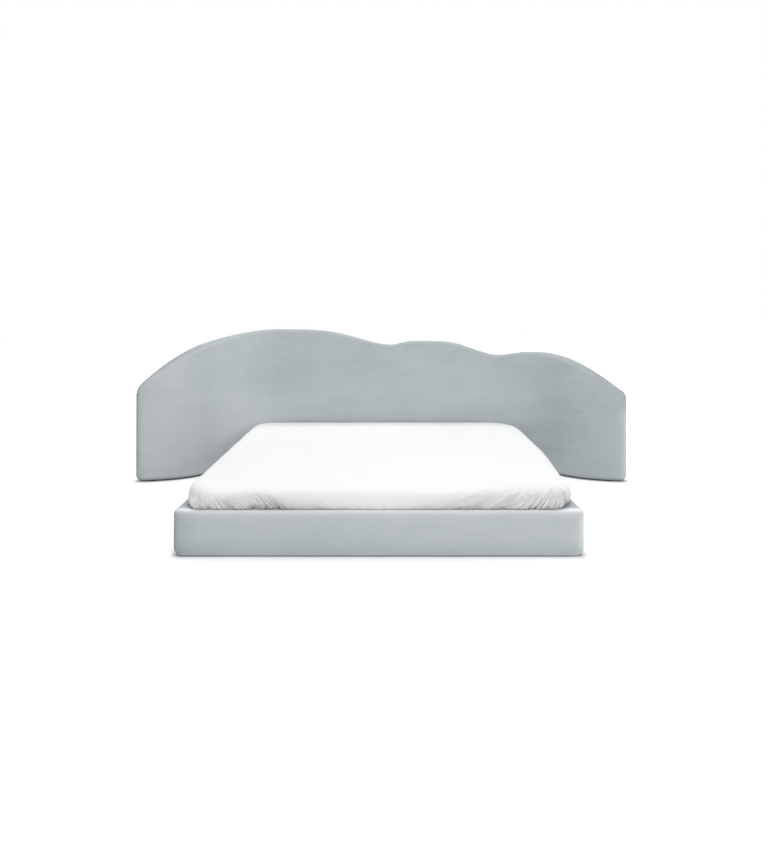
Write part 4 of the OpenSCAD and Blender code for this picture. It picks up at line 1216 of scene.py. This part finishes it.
class BED_OT_fitted_sheet(Operator):
    """The fitted sheet: pulled over the mattress, creased and gathered in under its edge"""
    bl_idname = "bed.fitted_sheet"
    bl_label = "Fitted sheet"
    # How deep a pull is, how much the cloth slackens between pulls, how deep the notches are
    # where it meets the rail, and the deepest that all of them go together
    pull_depth, slack_depth, notch_depth, deepest = 0.0036, 0.0015, 0.010, 0.011
    # How deep its slow waves are on the side and on the top, and the gathers at the hem, with
    # the distance from one gather to the next
    side_wave, top_wave, hem_wave, hem_pitch = 0.0016, 0.0006, 0.0004, 0.019
    # Half the width and half the thickness of the elastic in the hem, and how far it ripples
    elastic_w, elastic_t, elastic_ripple = 0.0045, 0.0009, 0.0006
    # The place in the mattress's profile where it reaches the rail's top
    at_rail = 9

    def profile(self, size):
        """How far out and how high the mattress is, from the hem to the top, with the place
        where it leaves the rail and the number of places on the top."""
        side = side_profile(size, steps=91)
        below, above = side[:self.at_rail + 1], side[self.at_rail + 1:]
        leaves = self.at_rail + int(np.argmax(above[:, 1] > below[-1, 1] + 1e-5))
        tuck = np.array([[-size.tuck, MATTRESS_LOW.z], [-0.018, MATTRESS_LOW.z]])
        flat = np.array([[-size.shoulder, side[-1, 1]], [-0.082, side[-1, 1]]])
        # Rows lie closest together on the swollen side, where the creases show
        lower = spaced(np.concatenate([tuck, below]), 0.020)
        pressed = spaced(side[self.at_rail:leaves + 1], 0.016)
        upper, top = spaced(side[leaves:], 0.0048), spaced(flat, 0.016)
        line = np.concatenate([lower, pressed[1:], upper[1:], top[1:]])
        return line, len(lower) + len(pressed) - 2, len(top)

    def columns(self, plan, ring, facing):
        """How creases lean along the run, reach and deepen at each place round the sheet."""

        def read(folds, at):
            places, *rows = np.array(folds).T
            return np.array([np.interp(at, places, row) for row in rows])

        x, along = ring[:, 0], ring[:, 1] - plan.foot_y
        right = read(SIDE_FOLDS, along)
        left = right * np.array([[-1], [1], [1]])
        foot, head = read(FOOT_FOLDS, x), read(SIDE_FOLDS, 1 - x)
        on_side = np.abs(facing[:, 0]) > np.abs(facing[:, 1])
        return np.where(on_side, np.where(x > 0, right, left), np.where(along < 1, foot, head))

    def along(self, ring, run, points):
        """How far along the ring the nearest place to each point lies."""
        nearest = np.argmin(((points[:, None] - ring) ** 2).sum(-1), axis=1)
        way = np.roll(ring, -1, axis=0) - np.roll(ring, 1, axis=0)
        way /= np.linalg.norm(way, axis=1)[:, None]
        return run[nearest] + ((points - ring[nearest]) * way[nearest]).sum(-1)

    def folds(self, ring, run, columns, points, rise):
        """Where the creases through each point start on the ring, and how strong they are."""
        whole = run[-1] + np.linalg.norm(ring[-1] - ring[0])

        def read(row, at):
            return np.interp(at, run, row, period=whole)

        lean, reach, deep = columns
        # A crease leans as it rises, so the place where it starts is found step by step
        here = start = self.along(ring, run, points)
        for _ in range(5):
            start = here - read(lean, start) * max(rise, -0.01)
        if rise > 0:
            up = rise / read(reach, start)
            fade = 0.26 * smooth(1.1 - up) + 0.95 * near(rise, 0.018) * smooth(2 - 2 * up)
        else:
            fade = max(0, 1 + rise / 0.03)
        # The noise is read at that place, and changes only slowly as a crease rises
        x, y = (read(row, start) for row in ring.T)
        return np.stack([x, y, 0 * x + rise * 0.16], -1), read(deep, start) * fade

    def execute(self, context):
        size, look = context.scene.bed_sizes, context.scene.sheet_look
        plan = MattressPlan(size, across=300, along=130, corner=24)
        gap = size.sheet_gap
        profile, contact, on_top = self.profile(size)
        rises = run_along(profile)
        ring, facing = plan.ring(size.swell * 0.8)
        run = run_along(ring)
        columns = self.columns(plan, ring, facing)

        rows, fold, pull, tucked = [], [], [], []
        for rise, (out, z), (aside, up) in zip(
                rises - rises[contact], profile, side_normals(profile)):
            seen, facing = plan.ring(out, gap * aside, plan.squared(z))
            place, strength = self.folds(ring, run, columns, seen, rise)
            strength = strength * look.depth
            # Noise for the pulls, for the slack between them and for the notches
            wide, slack, narrow = (waves(place, scale, look.seed + more)
                                   for scale, more in ((44, 0), (24, 3), (66, 5)))
            # Notches where the sheet meets the rail, and painted shade in them and along the line
            # where it meets the rail
            notch = np.clip(1.4 - abs(rise - 0.004) / 0.014, 0, 1) * part(narrow, 0.2, 0.2)
            seam_and_contact_shade = 1.5 * np.clip(1.2 - abs(rise - 0.002) / 0.005, 0, 1)
            crease = self.notch_depth * notch + self.slack_depth * slack
            crease += self.pull_depth * np.clip(1 - 3 * np.abs(wide), 0, 1)
            sunk = self.deepest * np.tanh(strength * crease / self.deepest)
            # Where the side turns under, creases only go in, and half as far
            if up < -0.5:
                sunk = np.maximum(sunk, 0) * 0.5
            flat = level(seen, z + gap * up)
            if z > size.rail_top:
                flat[:, 2] -= (1 - part(z, size.rail_top, 0.04)) * rail_drop(size, flat)
            slow = self.side_wave * waves(flat, 5.5, 2) * part(rise, 0, 0.03)
            gather = np.sin(run * 2 * math.pi / self.hem_pitch) * part(-rise, 0.16, 0.10)
            push = slow - sunk + self.hem_wave * gather
            rows.append(flat + level(facing * aside, up) * push[:, None])
            fold.append(place)
            pull.append(strength)
            # The painted shade of the notches and of the line along the rail, for the cotton's
            # colour
            tucked.append(np.clip(strength * (notch + seam_and_contact_shade), 0, 1))

        top = plan.inside(rows[-1])
        top[:, 2] += crown_rise(size, top) + self.top_wave * waves(top, 6, 7, (0.5, 1.2, 1))
        for row in rows[-on_top:]:
            row[:, 2] += crown_rise(size, row)
        points, faces = tube(rows, flip=True)
        faces += quads(plan.face(len(points) - len(run), len(points)), flip=True)
        piece = new_piece("sheet_cotton", np.concatenate([points, top]), faces,
                          "mattress_body", "linen", finish("sheet_cotton", cotton, look),
                          sharp=180)
        for name, values, rest in (("fold", fold, top), ("pull", pull, 0 * top[:, 0]),
                                   ("tucked", tucked, 0 * top[:, 0])):
            keep(piece.data, name, np.concatenate([*values, rest]))
        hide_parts("fitted_sheet")

        coarse = MattressPlan(size, across=196, along=130, corner=24)
        ribbon = edge_tube(coarse, -size.tuck, MATTRESS_LOW.z - self.elastic_t, self.elastic_w,
                           self.elastic_t, ripple=self.elastic_ripple)
        hem = new_piece("sheet_hem", *ribbon, "mattress_body", "linen",
                        finish("elastic", elastic), sharp=180)
        return {"FINISHED"}


class BED_OT_screws(Operator):
    """Screws that hold the ledges, the beam's shoes and the slatted base's end bars"""
    bl_idname = "bed.screws"
    bl_label = "Screws"
    # From a ledge's or a bar's end to the first screw, and how many each holds
    ledge_end, ledge_screws, bar_end, bar_screws = 0.06, 9, 0.09, 6

    def of_frame(self):
        """Where each of the frame's screws is, and which way it faces."""
        screws = []
        for name, way in (("left_ledge", 1), ("right_ledge", -1)):
            low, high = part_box(name)
            x, z = high.x if way > 0 else low.x, (low.z + high.z) / 2
            along = np.linspace(low.y + self.ledge_end, high.y - self.ledge_end,
                                self.ledge_screws)
            screws += [((x, y, z), (way, 0, 0)) for y in along]
        low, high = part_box("beam_shoes")
        return screws + [((x, y, z), (0, way, 0))
                         for y, way in ((low.y + 0.003, 1), (high.y - 0.003, -1))
                         for x in (low.x + 0.009, high.x - 0.009)
                         for z in (low.z + 0.011, high.z - 0.011)]

    def of_slat_base(self):
        low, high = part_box("slat_end_bars")
        across = np.linspace(low.x + self.bar_end, high.x - self.bar_end, self.bar_screws)
        return [((x, y, (low.z + high.z) / 2), (0, way, 0))
                for x in across for y, way in ((low.y, -1), (high.y, 1))]

    def execute(self, context):
        tree = screw_tree("pan_screws", radius=0.0042, height=0.0021,
                          material=finish("screw_zinc", zinc, "screw_zinc", 0.60))
        for name, screws, body in (("frame_screws", self.of_frame(), "bed_frame"),
                                   ("slat_base_screws", self.of_slat_base(), "slat_base")):
            places, ways = zip(*screws)
            tree.apply(name, places, [], body, "steel", ways)
        return {"FINISHED"}


class BED_OT_frame_finishes(Operator):
    """Timber, plywood, steel and plastic for the parts of the frame"""
    bl_idname = "bed.frame_finishes"
    bl_label = "Frame finishes"

    def execute(self, context):
        pine = (0.70, 0.50, 0.28), (0.50, 0.31, 0.14)
        beech = (0.72, 0.53, 0.33), (0.58, 0.39, 0.22)
        for made, nodes in (
                (timber("pine_x", *pine, "X"),
                 ("head_rail", "headboard_packers", "slat_end_bars")),
                (timber("pine_y", *pine, "Y"),
                 ("left_ledge", "right_ledge", "centre_beam", "slat_bars")),
                (timber("pine_z", *pine, "Z"), ("headboard_posts", "centre_legs")),
                (timber("beech_x", *beech, "X", 1.8, 0.42), ("left_slats", "right_slats")),
                (plywood("plywood_z", "Z"),
                 ("headboard_sole", "headboard_ribs", "foot_rail_core", "left_rail_core",
                  "right_rail_core")),
                (plywood("plywood_y", "Y"), ("headboard_front_skin", "headboard_back_skin")),
                (zinc(),
                 ("headboard_bolts", "corner_brackets", "bracket_bolts", "beam_shoes")),
                (black_plastic(),
                 ("headboard_glides", "rail_glides", "leg_glides", "slat_holders"))):
            for node in nodes:
                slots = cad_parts[node].data.materials
                slots.clear()
                slots.append(made)
        return {"FINISHED"}


class BED_OT_stage(Operator):
    """Pale floor, soft light and the camera"""
    bl_idname = "bed.stage"
    bl_label = "Stage"
    # Where the floor ends on the left, in front, on the right and behind
    floor_left, floor_front, floor_right, floor_back = -14, -9, 14, 19
    # How far from the middle the floor is at its whitest, and how near and how strongly
    # something over it takes that away
    bright_at, shade_reach, shade_power = 6.25, 0.035, 2.4
    # What the lamps are aimed at
    aim = np.array((0, 0, 0.4))
    # The camera's place, its focal length over a sensor's width, and its shift
    viewpoint, lens, sensor_w = (0.036, -4.8985, 1.0963), 36.95, 36
    shift = (-0.0035, -0.1412)

    def floor(self, look):
        mesh = bpy.data.meshes.new("floor")
        left, front, right, back = (self.floor_left, self.floor_front, self.floor_right,
                                    self.floor_back)
        mesh.from_pydata([(left, front, 0), (right, front, 0), (right, back, 0),
                          (left, back, 0)], [], [(0, 1, 2, 3)])
        add("floor", mesh)
        made = Finish("floor", 0.9, Specular_IOR_Level=0.0)
        made.colour(made.tones(made.noise(2.0, 2), (0.76, 0.76, 0.76), (0.78, 0.78, 0.78)))
        if look.white_floor:
            made.link((1, 1, 1, 1), made.shader.inputs["Emission Color"])
            made.link(self.glow(made, look), made.shader.inputs["Emission Strength"])
        mesh.materials.append(made.material)

    def glow(self, made, look):
        """White where it is looked at, the more so further out, and less beneath the bed."""
        nearby = made.node("ShaderNodeTexGradient", {"gradient_type": "SPHERICAL"},
                           Vector=made.stretched((1 / self.bright_at,) * 3))
        far = made.less(1 + look.floor_glow, nearby.outputs["Fac"])
        open_sky = made.node("ShaderNodeAmbientOcclusion", {"samples": 4},
                             Distance=self.shade_reach)
        clear = made.math("POWER", open_sky.outputs["AO"], self.shade_power)
        return made.times(made.times(made.seen(), far), clear)

    def sky(self, look):
        """Even light from all round, white where it is looked at."""
        world = bpy.data.worlds.new("sky")
        bpy.context.scene.world = world
        world.use_nodes = True
        world.node_tree.nodes.clear()
        made = Nodes(world.node_tree)
        light, white = (made.node("ShaderNodeBackground", Color=(1, 1, 1, 1), Strength=strength)
                        for strength in (look.sky, 1.0))
        mix = made.node("ShaderNodeMixShader")
        for value, socket in zip((made.seen(), light.outputs[0], white.outputs[0]), mix.inputs):
            made.link(value, socket)
        made.node("ShaderNodeOutputWorld", Surface=mix.outputs[0])

    def lamp(self, name, strength, place, width):
        data = bpy.data.lights.new(name, "AREA")
        data.energy, data.shape, data.size = strength, "DISK", width
        lamp = add(name, data)
        away = np.array(place) - self.aim
        lamp.location = place
        lamp.rotation_euler = (math.atan2(math.hypot(away[0], away[1]), away[2]), 0,
                               math.atan2(away[1], away[0]) + math.pi / 2)

    def camera(self):
        data = bpy.data.cameras.new("camera")
        data.sensor_width, data.lens = self.sensor_w, self.lens
        data.shift_x, data.shift_y = self.shift
        camera = add("camera", data)
        camera.location = self.viewpoint
        camera.rotation_euler = (math.pi / 2, 0, 0)
        bpy.context.scene.camera = camera

    def execute(self, context):
        look = context.scene.stage_look
        context.scene.view_settings.view_transform = "Standard"
        self.floor(look)
        self.sky(look)
        self.lamp("front_lamp", look.front, (1.5, -7.5, 1.2), 2.0)
        self.lamp("side_lamp", look.side, (8.5, 0.3, 3.0), 4.0)
        self.lamp("top_lamp", look.overhead, (0.5, -5.5, 7.0), 4.0)
        self.lamp("back_lamp", look.back, (0, 2.2, 7.5), 5.0)
        self.lamp("rear_lamp", look.rear, (-1.5, 9.0, 2.6), 4.0)
        self.camera()
        return {"FINISHED"}


class BED_PT_panel(Panel):
    """Lists the bed's pieces and looks"""
    bl_label = "Cloud bed"
    bl_space_type = "VIEW_3D"
    bl_region_type = "UI"
    bl_category = "Bed"

    def draw(self, context):
        for piece in PIECES:
            self.layout.operator(piece.bl_idname)
        for name, group in GROUPS.items():
            box = self.layout.box()
            for label in group.__annotations__:
                box.prop(getattr(context.scene, name), label)


PIECES = (
    BED_OT_headboard, BED_OT_headboard_back, BED_OT_foot_rail, BED_OT_side_rails,
    BED_OT_mattress, BED_OT_fitted_sheet, BED_OT_screws, BED_OT_frame_finishes, BED_OT_stage,
)
GROUPS = {"bed_sizes": BedSizes, "velvet_look": VelvetLook, "sheet_look": SheetLook,
          "stage_look": StageLook}


def register():
    for made in (*GROUPS.values(), *PIECES, BED_PT_panel):
        bpy.utils.register_class(made)
    for name, group in GROUPS.items():
        setattr(bpy.types.Scene, name, PointerProperty(type=group))


def unregister():
    for name in GROUPS:
        delattr(bpy.types.Scene, name)
    for made in (BED_PT_panel, *PIECES[::-1], *GROUPS.values()):
        bpy.utils.unregister_class(made)


def main():
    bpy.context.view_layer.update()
    register()
    for piece in PIECES:
        group, name = piece.bl_idname.split(".")
        getattr(getattr(bpy.ops, group), name)()


if __name__ == "__main__":
    main()
